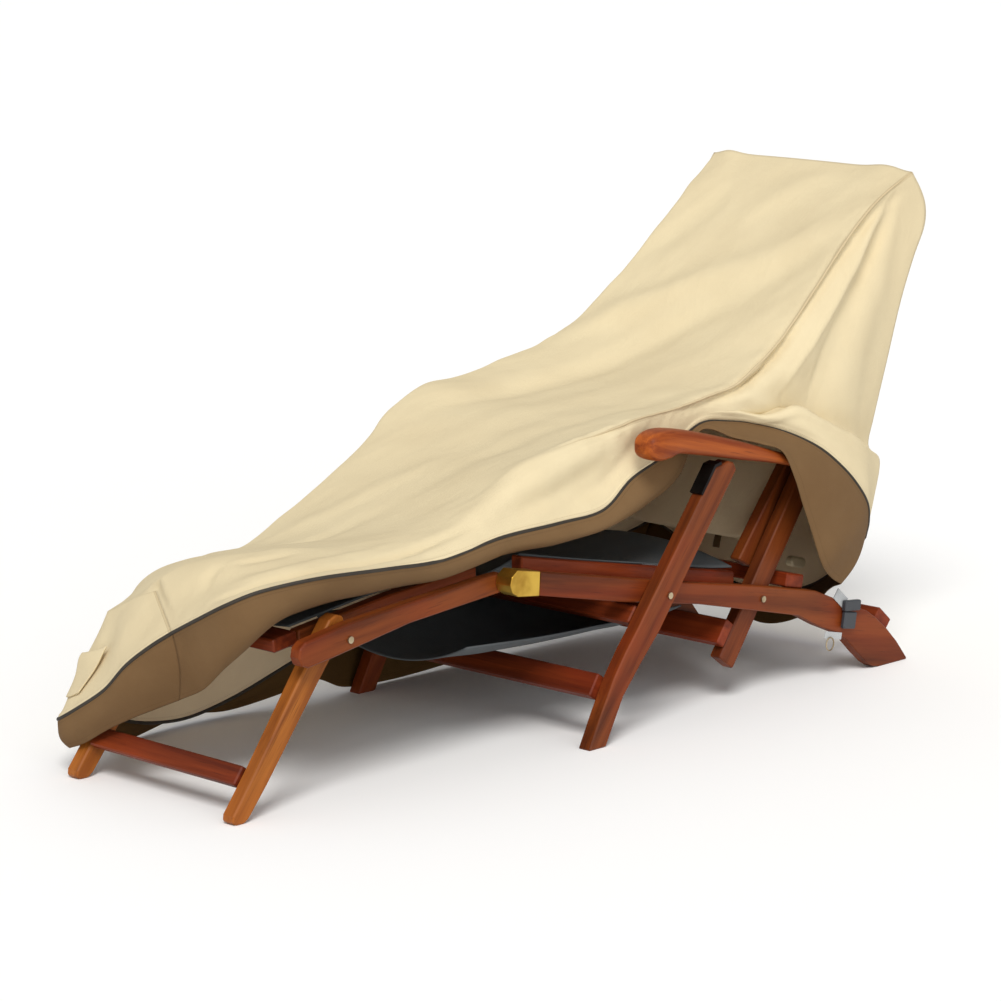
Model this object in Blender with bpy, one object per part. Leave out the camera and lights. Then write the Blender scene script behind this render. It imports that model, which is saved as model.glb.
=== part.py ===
"""A fitted weather cover thrown over a folding wooden lounge chair.

The cover's near side is lifted over the armrest, so the chair shows under it.  The cloth is a set of
cut panels: top, two sides, foot end, back, and a darker skirt round the bottom edge with a piping cord
in its seam.  Every panel is a 2 mm sheet in its hung shape.  The chair is plain bars, bolts and slings.

Metres, +Z up.  X runs from the footrest (negative) to the backrest (positive), and the open side of the
cover faces -Y.  The tables below are measured from the toe of the chair's front legs; the last step
moves everything so that the middle of the bounding box's base lies on the origin.
"""
import math

import bmesh
import bpy
import numpy as np
from mathutils import Vector

# ---------------------------------------------------------------- driving sizes
SHEET = 0.002            # thickness of the cover's cloth
SLING = 0.003            # thickness of the chair's canvas slings
FIT_GAP = 0.0004         # air left between two pieces that touch
PIPING_RADIUS = 0.0028
SEAM_ROOM = 0.0062       # each sheet stops this far from the middle of the piping cord
FOOT_SEAM_ROOM = 0.0068  # the foot and far skirts turn more sharply, so they stop further away
SEWN = 0.0018            # and this far from a seam where two panels are sewn edge to edge
RIB_END = 0.03           # panels start this share of a rib inside the foot end, twice it at the back
PULL_STRIP_OUT = 0.0095  # the pull strip's distance from the foot panel
WOOD_BEVEL = 0.0025
NEAR, FAR = -1, 1        # sign of Y on the two sides of the chair

# bars of the chair: inner and outer face, as distances from the middle plane
FRONT_LEG_Y = (0.2724, 0.3000)
RAIL_Y = (0.2481, 0.2720)
REAR_LEG_Y = (0.2223, 0.2477)
SEAT_RAIL_Y = (0.1960, 0.2219)
ARM_Y = (0.2500, 0.3080)
FOOT_RAIL_Y = (0.2130, 0.2370)
FOOT_LEG_Y = (0.1810, 0.2080)
FOOT_INNER_Y = (0.1500, 0.1740)
BACK_RAIL_Y = (0.1950, 0.2190)

# ---------------------------------------------------------------- colours: base colour, roughness, metallic
FINISHES = {
    "cover_cloth": ((0.78, 0.69, 0.50), 0.85, 0.0),
    "skirt_cloth": ((0.20, 0.12, 0.06), 0.85, 0.0),
    "piping": ((0.03, 0.03, 0.03), 0.6, 0.0),
    "hardwood": ((0.30, 0.10, 0.04), 0.45, 0.0),
    "sling_cloth": ((0.02, 0.03, 0.04), 0.8, 0.0),
    "brass": ((0.65, 0.50, 0.15), 0.35, 1.0),
    "steel": ((0.55, 0.50, 0.45), 0.35, 1.0),
    "dark_metal": ((0.05, 0.05, 0.05), 0.4, 1.0),
    "buckle_plastic": ((0.02, 0.02, 0.02), 0.4, 0.0),
    "webbing": ((0.55, 0.55, 0.52), 0.8, 0.0),
}

# ---------------------------------------------------------------- the cover's ribs
# One row a rib, foot to head.  A rib starts at the near hem, rises over the near piping and the near
# seam, crosses the top and comes down the far side.
NEAR_SEAM = [  # x, y, z of the seam between the top panel and the near side
    (-0.630, 0.095, 0.318), (-0.605, 0.040, 0.348), (-0.570, -0.020, 0.370), (-0.515, -0.070, 0.384),
    (-0.420, -0.110, 0.390), (-0.300, -0.140, 0.400), (-0.180, -0.170, 0.434), (-0.075, -0.200, 0.490),
    (0.010, -0.218, 0.514), (0.105, -0.224, 0.531), (0.200, -0.232, 0.547), (0.290, -0.238, 0.556),
    (0.365, -0.243, 0.569), (0.430, -0.245, 0.579), (0.490, -0.243, 0.603), (0.550, -0.240, 0.637),
    (0.610, -0.240, 0.684), (0.670, -0.239, 0.737), (0.730, -0.238, 0.792), (0.790, -0.237, 0.842),
    (0.861, -0.238, 0.890), (0.943, -0.243, 0.929)]
NEAR_PIPING = [  # x, y, z of the seam between the near side and its skirt
    (-0.703, -0.030, 0.280), (-0.706, -0.100, 0.315), (-0.699, -0.160, 0.346), (-0.660, -0.200, 0.368),
    (-0.570, -0.238, 0.381), (-0.431, -0.250, 0.377), (-0.310, -0.250, 0.373), (-0.170, -0.250, 0.391),
    (-0.030, -0.249, 0.395), (0.085, -0.246, 0.402), (0.165, -0.240, 0.446), (0.250, -0.236, 0.474),
    (0.345, -0.236, 0.520), (0.420, -0.243, 0.518), (0.482, -0.263, 0.507), (0.540, -0.290, 0.486),
    (0.598, -0.311, 0.455), (0.655, -0.320, 0.413), (0.700, -0.321, 0.373), (0.738, -0.314, 0.334),
    (0.760, -0.300, 0.296), (0.775, -0.282, 0.262)]
NEAR_HEM = [  # x, y, z of the skirt's lower edge on the near side
    (-0.660, 0.005, 0.155), (-0.664, -0.060, 0.185), (-0.660, -0.105, 0.225), (-0.640, -0.140, 0.262),
    (-0.575, -0.145, 0.302), (-0.430, -0.155, 0.316), (-0.290, -0.180, 0.324), (-0.150, -0.200, 0.345),
    (-0.010, -0.225, 0.356), (0.120, -0.238, 0.370), (0.215, -0.240, 0.398), (0.290, -0.240, 0.434),
    (0.342, -0.2450, 0.510), (0.398, -0.278, 0.4935), (0.443, -0.302, 0.4805), (0.482, -0.318, 0.464),
    (0.512, -0.323, 0.413), (0.536, -0.323, 0.362), (0.565, -0.322, 0.306), (0.602, -0.318, 0.240),
    (0.650, -0.302, 0.206), (0.692, -0.292, 0.186)]
NEAR_CREST = [  # x, y, z of the ridge where the side is thrown outwards over the arm, ribs 13 to 21
    (0.424, -0.254, 0.534), (0.486, -0.276, 0.522), (0.548, -0.290, 0.526), (0.606, -0.296, 0.505),
    (0.660, -0.296, 0.483), (0.708, -0.294, 0.463), (0.752, -0.286, 0.441), (0.796, -0.268, 0.416),
    (0.840, -0.247, 0.392)]
FIRST_CREST_RIB = 13
TUCK = (0.002, 0.034, -0.010)      # where the cloth dips behind that ridge, measured from the ridge
SIDE_PROFILE = [  # share of the way from seam to ridge, share of the backward bow, share of the tuck
    (0.07, 0.62, 0.0), (0.13, 0.95, 0.0), (0.20, 1.00, 0.0), (0.30, 0.66, 0.0), (0.45, 0.36, 0.1),
    (0.65, 0.34, 0.5), (0.84, 0.33, 0.9), (0.94, 0.32, 1.0), (1.00, 0.31, 0.0)]
BACKWARD_BOW = {19: 0.008, 20: 0.024, 21: 0.060}   # how far the near side stands back of a straight rib
FAR_SEAM = [  # x, y, z of the seam between the top panel and the far side
    (-0.548, 0.266, 0.262), (-0.523, 0.273, 0.281), (-0.486, 0.276, 0.297), (-0.440, 0.275, 0.306),
    (-0.360, 0.277, 0.312), (-0.280, 0.279, 0.317), (-0.155, 0.281, 0.372), (-0.040, 0.285, 0.429),
    (0.035, 0.290, 0.470), (0.108, 0.311, 0.512), (0.190, 0.313, 0.546), (0.270, 0.311, 0.555),
    (0.350, 0.304, 0.569), (0.430, 0.295, 0.586), (0.495, 0.284, 0.605), (0.555, 0.268, 0.632),
    (0.610, 0.255, 0.677), (0.668, 0.247, 0.724), (0.730, 0.242, 0.777), (0.792, 0.239, 0.826),
    (0.862, 0.237, 0.884), (0.934, 0.236, 0.937)]
FAR_PIPING = [
    (-0.630, 0.283, 0.102), (-0.582, 0.302, 0.064), (-0.525, 0.313, 0.040), (-0.455, 0.318, 0.022),
    (-0.370, 0.320, 0.016), (-0.270, 0.321, 0.032), (-0.160, 0.322, 0.062), (-0.060, 0.323, 0.092),
    (0.030, 0.324, 0.116), (0.110, 0.325, 0.130), (0.195, 0.326, 0.138), (0.275, 0.326, 0.142),
    (0.350, 0.326, 0.146), (0.425, 0.325, 0.150), (0.490, 0.324, 0.154), (0.550, 0.323, 0.157),
    (0.605, 0.323, 0.161), (0.660, 0.322, 0.166), (0.715, 0.321, 0.173), (0.765, 0.319, 0.182),
    (0.810, 0.316, 0.192), (0.845, 0.310, 0.205)]
FAR_HEM = [
    (-0.597, 0.276, 0.028), (-0.578, 0.286, 0.013), (-0.550, 0.299, 0.003), (-0.478, 0.324, 0.004),
    (-0.366, 0.337, 0.016), (-0.272, 0.328, 0.009), (-0.165, 0.312, 0.022), (-0.080, 0.307, 0.036),
    (-0.010, 0.305, 0.010), (0.090, 0.305, 0.003), (0.185, 0.305, 0.004), (0.270, 0.306, 0.008),
    (0.345, 0.307, 0.014), (0.420, 0.308, 0.016), (0.485, 0.309, 0.020), (0.545, 0.310, 0.024),
    (0.600, 0.310, 0.028), (0.655, 0.309, 0.034), (0.705, 0.308, 0.046), (0.745, 0.306, 0.066),
    (0.778, 0.304, 0.092), (0.802, 0.300, 0.124)]
TOP_CROWN = [  # how far the top panel's middle stands above (or sags below) a straight rib
    0.004, 0.010, 0.013, 0.012, 0.008, 0.004, -0.004, -0.012, -0.018, -0.020, -0.022, -0.022,
    -0.020, -0.016, -0.012, -0.010, -0.008, -0.008, -0.007, -0.006, -0.002, 0.006]
CROWN_POWERS = (0.6, 2.0)          # a crown drops late, near the seams; a sag keeps clear of them
FOOT_ROUNDING = 1.4                # ribs over which the top panel's end is rounded like the foot end
FAR_BULGE = [  # how far the far side stands out of a straight rib
    0.006, 0.008, 0.010, 0.012, 0.012, 0.012, 0.012, 0.012, 0.012, 0.014, 0.014, 0.016,
    0.022, 0.028, 0.030, 0.032, 0.032, 0.030, 0.026, 0.020, 0.014, 0.006]

# the foot end, from the near corner round to the far corner
FOOT_TOP = [(-0.630, 0.095, 0.318), (-0.636, 0.130, 0.305), (-0.636, 0.165, 0.289), (-0.630, 0.200, 0.273),
            (-0.623, 0.228, 0.262), (-0.597, 0.250, 0.255), (-0.548, 0.266, 0.262)]
FOOT_PIPING = [(-0.703, -0.030, 0.280), (-0.718, 0.010, 0.252), (-0.730, 0.055, 0.216),
               (-0.734, 0.105, 0.168), (-0.740, 0.170, 0.126), (-0.732, 0.230, 0.096),
               (-0.630, 0.283, 0.102)]
FOOT_HEM = [(-0.660, 0.005, 0.155), (-0.676, 0.045, 0.136), (-0.696, 0.085, 0.116), (-0.708, 0.130, 0.092),
            (-0.716, 0.180, 0.062), (-0.708, 0.230, 0.042), (-0.597, 0.276, 0.028)]
PULL_STRIP = [  # its corners on the foot end, as shares across and down: two at the top, two at the bottom
    (0.48, 0.515), (0.695, 0.46), (0.68, 0.84), (0.885, 0.785)]

# the back, from the near corner to the far corner
BACK_PIPING = [(0.775, -0.282, 0.262), (0.822, -0.205, 0.200), (0.838, -0.100, 0.130), (0.842, 0.020, 0.104),
               (0.842, 0.130, 0.118), (0.846, 0.225, 0.170), (0.845, 0.310, 0.205)]
BACK_HEM = [(0.692, -0.292, 0.186), (0.744, -0.222, 0.156), (0.786, -0.130, 0.086), (0.796, -0.020, 0.052),
            (0.796, 0.090, 0.084), (0.796, 0.210, 0.132), (0.802, 0.300, 0.124)]
BACK_EDGE_FAR = [  # the corner between the back and the far side: v along the edge, x, y, z
    (0.0, 0.934, 0.236, 0.937), (0.12, 0.972, 0.240, 0.868), (0.35, 0.925, 0.243, 0.700),
    (0.65, 0.890, 0.262, 0.450), (1.0, 0.845, 0.310, 0.205)]
FINE_FROM = 12                     # ribs stand closer together from here to the head
FIRST_BOWED_RIB = 18               # from here on the far side leans back to that corner

NEAR_CURL = ((0, 2, 4, 8, 10, 12, 15, 18, 21),       # ribs, and how far the near skirt curls out there
             (0.010, 0.016, 0.020, 0.020, 0.010, 0.000, 0.004, 0.012, 0.008))

# soft folds on the near side, fanning from the top corner: angle forward of plumb, half width, how far out
FAN_FOLDS = [(53.5, 3.4, -0.007), (47.0, 4.0, 0.011), (37.0, 5.0, -0.011), (24.0, 8.0, 0.006)]
FAN_APEX = (0.930, 0.930)
FAN_REACH = (0.10, 0.42)           # the folds grow over this distance from the apex, then fade


# ---------------------------------------------------------------- small numeric helpers
def through(rows, where):
    """Smooth curve through evenly numbered rows: a Catmull-Rom spline read at row numbers `where`."""
    rows = np.asarray(rows, float)
    rows = rows.reshape(len(rows), -1)
    ends = np.vstack([2 * rows[0] - rows[1], rows, 2 * rows[-1] - rows[-2]])
    where = np.asarray(where, float)
    index = np.clip(np.floor(where).astype(int), 0, len(rows) - 2)
    t = (where - index)[..., None]
    a, b, c, d = (ends[index + k] for k in range(4))
    bent = (2 * a - 5 * b + 4 * c - d) * t ** 2 + (3 * b - a - 3 * c + d) * t ** 3
    return 0.5 * (2 * b + (c - a) * t + bent)


def lay(rows, count, start=0.0, stop=None):
    """`count` points evenly spaced in row number along a table."""
    stop = len(rows) - 1 if stop is None else stop
    return through(rows, np.linspace(start, stop, count))


def lay_at(rows, share):
    """Points of a table at shares (0 to 1) of its rows."""
    return through(rows, np.asarray(share) * (len(rows) - 1))


def mix(a, b, t):
    return a * (1 - t) + b * t


def trimmed(grid, first, last, count):
    """Each row of a grid as `count` evenly spaced points, cut short by two lengths at its ends."""
    rows = []
    for row in grid:
        run = np.concatenate([[0.0], np.cumsum(np.linalg.norm(np.diff(row, axis=0), axis=1))])
        spots = np.linspace(first, run[-1] - last, count)
        rows.append(np.stack([np.interp(spots, run, row[:, k]) for k in range(3)], axis=1))
    return np.array(rows)


def normals_of(grid):
    """Unit normals of a grid of points, from the cross product of its two directions."""
    along = np.gradient(grid, axis=0)
    across = np.gradient(grid, axis=1)
    normal = np.cross(along, across)
    return normal / np.maximum(np.linalg.norm(normal, axis=2, keepdims=True), 1e-9)


# ---------------------------------------------------------------- Blender helpers
def clear_scene():
    for item in list(bpy.data.objects):
        bpy.data.objects.remove(item, do_unlink=True)


def finish(name):
    """The material of that name, made on first use."""
    if name in bpy.data.materials:
        return bpy.data.materials[name]
    colour, roughness, metallic = FINISHES[name]
    material = bpy.data.materials.new(name)
    material.use_nodes = True
    shader = material.node_tree.nodes["Principled BSDF"]
    shader.inputs["Base Color"].default_value = (*colour, 1.0)
    shader.inputs["Roughness"].default_value = roughness
    shader.inputs["Metallic"].default_value = metallic
    return material


def add_object(name, mesh, material):
    item = bpy.data.objects.new(name, mesh)
    mesh.materials.append(finish(material))
    bpy.context.scene.collection.objects.link(item)
    return item


def mesh_from(name, points, faces):
    mesh = bpy.data.meshes.new(name)
    mesh.from_pydata([tuple(p) for p in points], [], faces)
    mesh.validate()
    shape = bmesh.new()
    shape.from_mesh(mesh)
    bmesh.ops.recalc_face_normals(shape, faces=shape.faces)
    shape.to_mesh(mesh)
    shape.free()
    return mesh


def soften(item, width=WOOD_BEVEL, segments=1):
    bevel = item.modifiers.new("soft edges", "BEVEL")
    bevel.width = width
    bevel.segments = segments
    bevel.limit_method = "ANGLE"
    bevel.angle_limit = math.radians(35)


def plate(name, outline, inner, outer, side, material="hardwood", bevel=WOOD_BEVEL):
    """A bar seen from the side: an (x, z) outline given its thickness between two distances in Y."""
    near_face = [(x, side * inner, z) for x, z in outline]
    far_face = [(x, side * outer, z) for x, z in outline]
    count = len(outline)
    faces = [tuple(range(count)), tuple(range(2 * count - 1, count - 1, -1))]
    faces += [(i, i + count, (i + 1) % count + count, (i + 1) % count) for i in range(count)]
    item = add_object(name, mesh_from(name, near_face + far_face, faces), material)
    if bevel:
        soften(item, bevel)
    return item


def slanted(centre, size, tilt):
    """Outline of a turned rectangle: centre (x, z), size (along, thick), tilt in degrees."""
    along, thick = size[0] / 2, size[1] / 2
    cosine, sine = math.cos(math.radians(tilt)), math.sin(math.radians(tilt))
    corners = [(-along, -thick), (along, -thick), (along, thick), (-along, thick)]
    return [(centre[0] + a * cosine - b * sine, centre[1] + a * sine + b * cosine) for a, b in corners]


def cross_bar(name, centre, size, tilt, reach):
    """A bar that runs across the chair, `reach` to each side of the middle."""
    return plate(name, slanted(centre, size, tilt), -reach, reach, FAR)


def capsule(start, end, width, square_start=False, steps=6):
    """Outline of a bar between two (x, z) points, round at its end and round or square at its start."""
    start, end = np.array(start), np.array(end)
    along = (end - start) / np.linalg.norm(end - start)
    aside = np.array([-along[1], along[0]])
    half = width / 2
    turns = [math.pi / 2 - math.pi * k / steps for k in range(steps + 1)]
    points = [end + half * (math.cos(t) * along + math.sin(t) * aside) for t in turns]
    if square_start:
        points += [start - half * aside, start + half * aside]
    else:
        points += [start - half * (math.cos(t) * along + math.sin(t) * aside) for t in turns]
    return [tuple(p) for p in points]


def bolt(name, x, z, face, side, radius=0.006, proud=0.003):
    """A shallow screw head on the outer face of a bar."""
    count = 12
    ring = [(x + radius * math.cos(2 * math.pi * k / count), z + radius * math.sin(2 * math.pi * k / count))
            for k in range(count)]
    return plate(name, ring, face + FIT_GAP, face + FIT_GAP + proud, side, "steel", bevel=0)


def thick_sheet(name, middle, normals, material, thickness=SHEET):
    """A sheet of even thickness round a grid of middle points: two faces and a rim."""
    rows, columns = middle.shape[:2]
    upper = (middle + normals * thickness / 2).reshape(-1, 3)
    lower = (middle - normals * thickness / 2).reshape(-1, 3)
    total = rows * columns
    faces = []
    for i in range(rows - 1):
        for j in range(columns - 1):
            a = i * columns + j
            faces.append((a, a + 1, a + columns + 1, a + columns))
            faces.append((a + total, a + columns + total, a + columns + 1 + total, a + 1 + total))
    rim = [j for j in range(columns)]
    rim += [i * columns + columns - 1 for i in range(1, rows)]
    rim += [(rows - 1) * columns + j for j in range(columns - 2, -1, -1)]
    rim += [i * columns for i in range(rows - 2, 0, -1)]
    for a, b in zip(rim, rim[1:] + rim[:1]):
        faces.append((a, a + total, b + total, b))
    return add_object(name, mesh_from(name, np.vstack([upper, lower]), faces), material)


def cord(name, route, radius, material, closed=False):
    """A round cord along a route of points, its two ends capped."""
    curve = bpy.data.curves.new(name, "CURVE")
    curve.dimensions = "3D"
    curve.bevel_depth = radius
    curve.bevel_resolution = 2
    curve.use_fill_caps = True
    spline = curve.splines.new("POLY")
    spline.points.add(len(route) - 1)
    for point, place in zip(spline.points, route):
        point.co = (*place, 1.0)
    spline.use_cyclic_u = closed
    return add_object(name, curve, material)


# ---------------------------------------------------------------- the cover's surface
def side_rows(where):
    """Guide rows of the near side, from the top seam over the ridge to the piping, at the ribs `where`."""
    seam, piping = through(NEAR_SEAM, where), through(NEAR_PIPING, where)
    before = [mix(np.array(NEAR_SEAM[k]), np.array(NEAR_PIPING[k]), 0.72) for k in range(FIRST_CREST_RIB)]
    crest = through(before + [np.array(row) for row in NEAR_CREST], where)
    thrown = np.clip((where - FIRST_CREST_RIB) / 2.0, 0, 1)[:, None]
    bow = through([BACKWARD_BOW.get(k, 0.0) for k in range(len(NEAR_SEAM))], where) * np.array([1.0, 0, 0])
    rows = [seam]
    for share, bowed, tucked in SIDE_PROFILE:
        rows.append(mix(seam, crest, share) + bowed * bow + tucked * thrown * np.array(TUCK))
    rows.append(mix(rows[-1], piping, 0.5) + thrown * np.array([-0.006, -0.008, 0.004]))
    return np.stack(rows + [piping])


def fan_folds(points):
    """How far out the fan of folds pushes a point of the near side: ridges and troughs round FAN_APEX."""
    forward = FAN_APEX[0] - points[..., 0]
    down = np.maximum(FAN_APEX[1] - points[..., 2], 1e-4)
    reach = np.hypot(forward, down)
    angle = np.degrees(np.arctan2(forward, down))
    outward = sum(depth * np.exp(-((angle - middle) / width) ** 2) for middle, width, depth in FAN_FOLDS)
    grown = np.clip(reach / FAN_REACH[0] - 0.3, 0, 1) * np.clip((FAN_REACH[1] - reach) / 0.12 + 1, 0, 1)
    return outward * grown


def near_side_grid(where, fine=40):
    """Near side panel: a row of `fine` points from seam to piping for each rib number in `where`."""
    guides = side_rows(where)
    down = np.linspace(0, len(guides) - 1, fine)
    grid = through(guides.reshape(len(guides), -1), down).reshape(fine, len(where), 3).transpose(1, 0, 2)
    held = np.sin(np.pi * np.linspace(0, 1, fine)) ** 0.6
    grid[..., 1] -= fan_folds(grid) * held[None, :] * np.clip((where - 12.5) / 2.0, 0, 1)[:, None]
    return grid


def top_grid(where, fine=40):
    """Top panel: a row from the near seam to the far seam for each rib, crowned or sagged."""
    across = np.linspace(0, 1, fine)[None, :, None]
    grid = mix(through(NEAR_SEAM, where)[:, None], through(FAR_SEAM, where)[:, None], across)
    straight = mix(np.array(NEAR_SEAM[0]), np.array(FAR_SEAM[0]), across[0])
    rounded = lay_at(FOOT_TOP, across[0, :, 0]) - straight
    grid += rounded * (np.clip(1 - where / FOOT_ROUNDING, 0, 1) ** 2)[:, None, None]
    crown = through(TOP_CROWN, where) * np.clip(where, 0, 1)[:, None]
    grid[..., 2] += crown * np.sin(np.pi * across[..., 0]) ** np.where(crown > 0, *CROWN_POWERS)
    return grid


def far_edge(down):
    """The corner between the back and the far side, at shares of the way down."""
    table = np.array(BACK_EDGE_FAR)
    return through(table[:, 1:], np.interp(down, table[:, 0], np.arange(len(table))))


def far_side_grid(where, fine=40):
    """Far side panel: it hangs from the far seam, stands out from the armrest, and meets the back's edge."""
    down = np.linspace(0, 1, fine)
    grid = mix(through(FAR_SEAM, where)[:, None], through(FAR_PIPING, where)[:, None], down[None, :, None])
    inside = np.clip(where, 0, 1) * np.clip(len(FAR_SEAM) - 1 - where, 0, 1)
    grid[..., 1] += through(FAR_BULGE, where) * inside[:, None] * np.sin(np.pi * down)[None, :]
    bowed = far_edge(down) - mix(np.array(FAR_SEAM[-1]), np.array(FAR_PIPING[-1]), down[:, None])
    return grid + bowed * (np.clip((where - FIRST_BOWED_RIB) / 3, 0, 1) ** 2)[:, None, None]


def skirt_grid(piping, hem, belly, fine=16):
    """A skirt from the piping down to its hem; `belly` is how far, and which way, its middle hangs out."""
    down = np.linspace(0, 1, fine)
    grid = mix(piping[:, None], hem[:, None], down[None, :, None])
    return grid + np.sin(np.pi * down)[None, :, None] * np.asarray(belly).reshape(-1, 1, 3)


def near_belly(where):
    """How far the near skirt curls out at each rib: most over the footrest, least under the arm."""
    return np.interp(where, *NEAR_CURL)[:, None] * np.array([0.0, -1.0, -0.35])


def foot_belly(across):
    """How far the foot skirt hangs out: like the near skirt at their corner, then towards the foot."""
    near, own = near_belly(np.zeros(1)), np.array([-0.010, 0.0, -0.004])
    return mix(near, own, np.clip(across / 0.25, 0, 1)[:, None])


def back_grid(across, fine=40):
    """Back panel: a row from its top edge to the piping for each place across (0 near corner, 1 far)."""
    down = np.linspace(0, 1, fine)
    near = near_side_grid(np.array([len(NEAR_SEAM) - 1.0]), fine)[0]
    grid = mix(near[None], far_edge(down)[None], across[:, None, None])
    low = lay_at(BACK_PIPING, across)
    drift = low - grid[:, -1]
    grid = grid + drift[:, None, :] * (down ** 2)[None, :, None]
    sway = np.sin(np.pi * across)[:, None]
    grid[..., 0] -= 0.008 * sway * np.sin(np.pi * down)[None, :]
    grid[..., 2] += 0.008 * sway * (1 - down)[None, :] ** 6
    return grid


def foot_at(across, down):
    """Points of the foot-end panel: straight from its top edge to the piping."""
    return mix(lay_at(FOOT_TOP, across), lay_at(FOOT_PIPING, across), down[..., None])


def foot_grid(across, fine=20):
    """Foot-end panel: a row from its top edge to the piping for each place across."""
    return foot_at(*np.meshgrid(across, np.linspace(0, 1, fine), indexing="ij"))


def pull_strip_grid(rows=4, columns=6):
    """A four-cornered patch of the foot end, stood off it along its normals."""
    u, v = np.meshgrid(np.linspace(0, 1, rows), np.linspace(0, 1, columns), indexing="ij")
    corners = np.array(PULL_STRIP)
    high = mix(corners[0], corners[1], u[..., None])
    low = mix(corners[2], corners[3], u[..., None])
    spot = mix(high, low, v[..., None])
    patch = foot_at(spot[..., 0], spot[..., 1])
    return patch + normals_of(patch) * PULL_STRIP_OUT


def panel(name, grid, material, first, last, count):
    """Cuts a grid's rows to length and makes the thick sheet."""
    cut = trimmed(grid, first, last, count)
    return thick_sheet(name, cut, normals_of(cut), material)


def build_cover():
    last = len(NEAR_SEAM) - 1
    head_end = last - 2 * RIB_END
    ribs = np.concatenate([np.linspace(RIB_END, FINE_FROM, 20), np.linspace(FINE_FROM, head_end, 34)[1:]])
    few = np.linspace(RIB_END, head_end, 36)
    panel("top_panel", top_grid(few), "cover_cloth", SEWN, SEWN, 9)
    panel("near_side_panel", near_side_grid(ribs), "cover_cloth", SEWN, SEAM_ROOM, 16)
    panel("far_side_panel", far_side_grid(few), "cover_cloth", SEWN, SEAM_ROOM, 6)
    near = skirt_grid(through(NEAR_PIPING, ribs), through(NEAR_HEM, ribs), near_belly(ribs))
    panel("near_skirt", near, "skirt_cloth", SEAM_ROOM, 0.0, 5)
    belly = np.tile([0.0, 0.006, 0.0], (len(few), 1))
    far = skirt_grid(through(FAR_PIPING, few), through(FAR_HEM, few), belly)
    panel("far_skirt", far, "skirt_cloth", FOOT_SEAM_ROOM, 0.0, 4)

    across = np.linspace(0.010, 0.985, 12)
    panel("foot_panel", foot_grid(across), "cover_cloth", SEWN, SEAM_ROOM, 6)
    foot = skirt_grid(lay_at(FOOT_PIPING, across), lay_at(FOOT_HEM, across), foot_belly(across))
    panel("foot_skirt", foot, "skirt_cloth", FOOT_SEAM_ROOM, 0.0, 5)
    pull = pull_strip_grid()
    thick_sheet("pull_strip", pull, normals_of(pull), "cover_cloth")

    across = np.linspace(0.006, 0.990, 11)
    panel("back_panel", back_grid(across), "cover_cloth", SEWN, SEAM_ROOM, 16)
    belly = np.tile([-0.012, 0.0, 0.0], (len(across), 1))
    back = skirt_grid(lay_at(BACK_PIPING, across), lay_at(BACK_HEM, across), belly)
    panel("back_skirt", back, "skirt_cloth", SEAM_ROOM, 0.0, 5)

    foot_end = len(FOOT_PIPING) - 1
    near_route = np.vstack([lay(FOOT_PIPING, 18, 0, foot_end - 0.1)[::-1], through(NEAR_PIPING, ribs)])
    cord("piping_near", near_route, PIPING_RADIUS, "piping")
    cord("piping_far", lay(FAR_PIPING, 30, 0.1, last - 0.1), PIPING_RADIUS, "piping")
    cord("piping_back", lay(BACK_PIPING, 16, 0.15, len(BACK_PIPING) - 1.15), PIPING_RADIUS, "piping")


STRAP_THICK = 0.0016


def build_fastening():
    """The strap and side-release buckle on the chair's near tail, and what hangs inside the cover."""
    face = RAIL_Y[1] + 2 * FIT_GAP
    strap = (face, face + STRAP_THICK)
    plate("strap_upper", slanted((0.717, 0.152), (0.038, 0.022), -40), *strap, NEAR, "webbing", 0)
    front = strap[1] + FIT_GAP
    plate("buckle_socket", slanted((0.742, 0.136), (0.046, 0.020), -6), front, front + 0.011, NEAR,
          "buckle_plastic", 0.002)
    plate("buckle_plug", slanted((0.736, 0.1085), (0.036, 0.032), -10), front, front + 0.009, NEAR,
          "buckle_plastic", 0.002)
    plate("strap_lower", slanted((0.697, 0.0845), (0.050, 0.013), -12), *strap, NEAR, "webbing", 0)
    turns = np.linspace(0, 2 * math.pi, 14, endpoint=False)
    loop = [(0.6835 + 0.011 * math.sin(t), -(face + 0.0045), 0.071 + 0.0125 * math.cos(t)) for t in turns]
    cord("cord_loop", loop, 0.0013, "steel", closed=True)
    hang = np.linspace(0.272, 0.180, 5)
    ribbon = np.array([[(0.812 + 0.28 * (z - hang[-1]), y, z) for z in hang] for y in (0.104, 0.112, 0.120)])
    thick_sheet("inner_ribbon", ribbon, normals_of(ribbon), "skirt_cloth")
    plate("cord_lock", capsule((0.752, 0.196), (0.776, 0.190), 0.020), 0.118, 0.136, NEAR,
          "cover_cloth", 0.003)


# ---------------------------------------------------------------- the chair
FRONT_LEG = [(-0.002, 0.0), (0.041, 0.0), (0.085, 0.081), (0.130, 0.132), (0.177, 0.181), (0.280, 0.314),
             (0.379, 0.442), (0.372, 0.456), (0.356, 0.461), (0.338, 0.456), (0.323, 0.453), (0.225, 0.327),
             (0.122, 0.196), (0.092, 0.160), (0.062, 0.119), (0.030, 0.062)]
FRONT_BRACKET = [(0.2875, 0.4085), (0.3222, 0.4537), (0.3377, 0.4568), (0.3365, 0.4618), (0.3195, 0.4585),
                 (0.2835, 0.4115)]        # a bent plate on the front of the leg's top
MAIN_RAIL = [(-0.094, 0.324), (-0.098, 0.284), (0.112, 0.240), (0.315, 0.204), (0.597, 0.138),
             (0.656, 0.109),
             (0.712, 0.086), (0.742, 0.068), (0.773, 0.040), (0.806, 0.013), (0.824, 0.003), (0.840, 0.0),
             (0.926, 0.0), (0.928, 0.003), (0.896, 0.040), (0.864, 0.070), (0.828, 0.098), (0.801, 0.115),
             (0.729, 0.143), (0.644, 0.178), (0.480, 0.212), (0.315, 0.242)]
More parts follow.
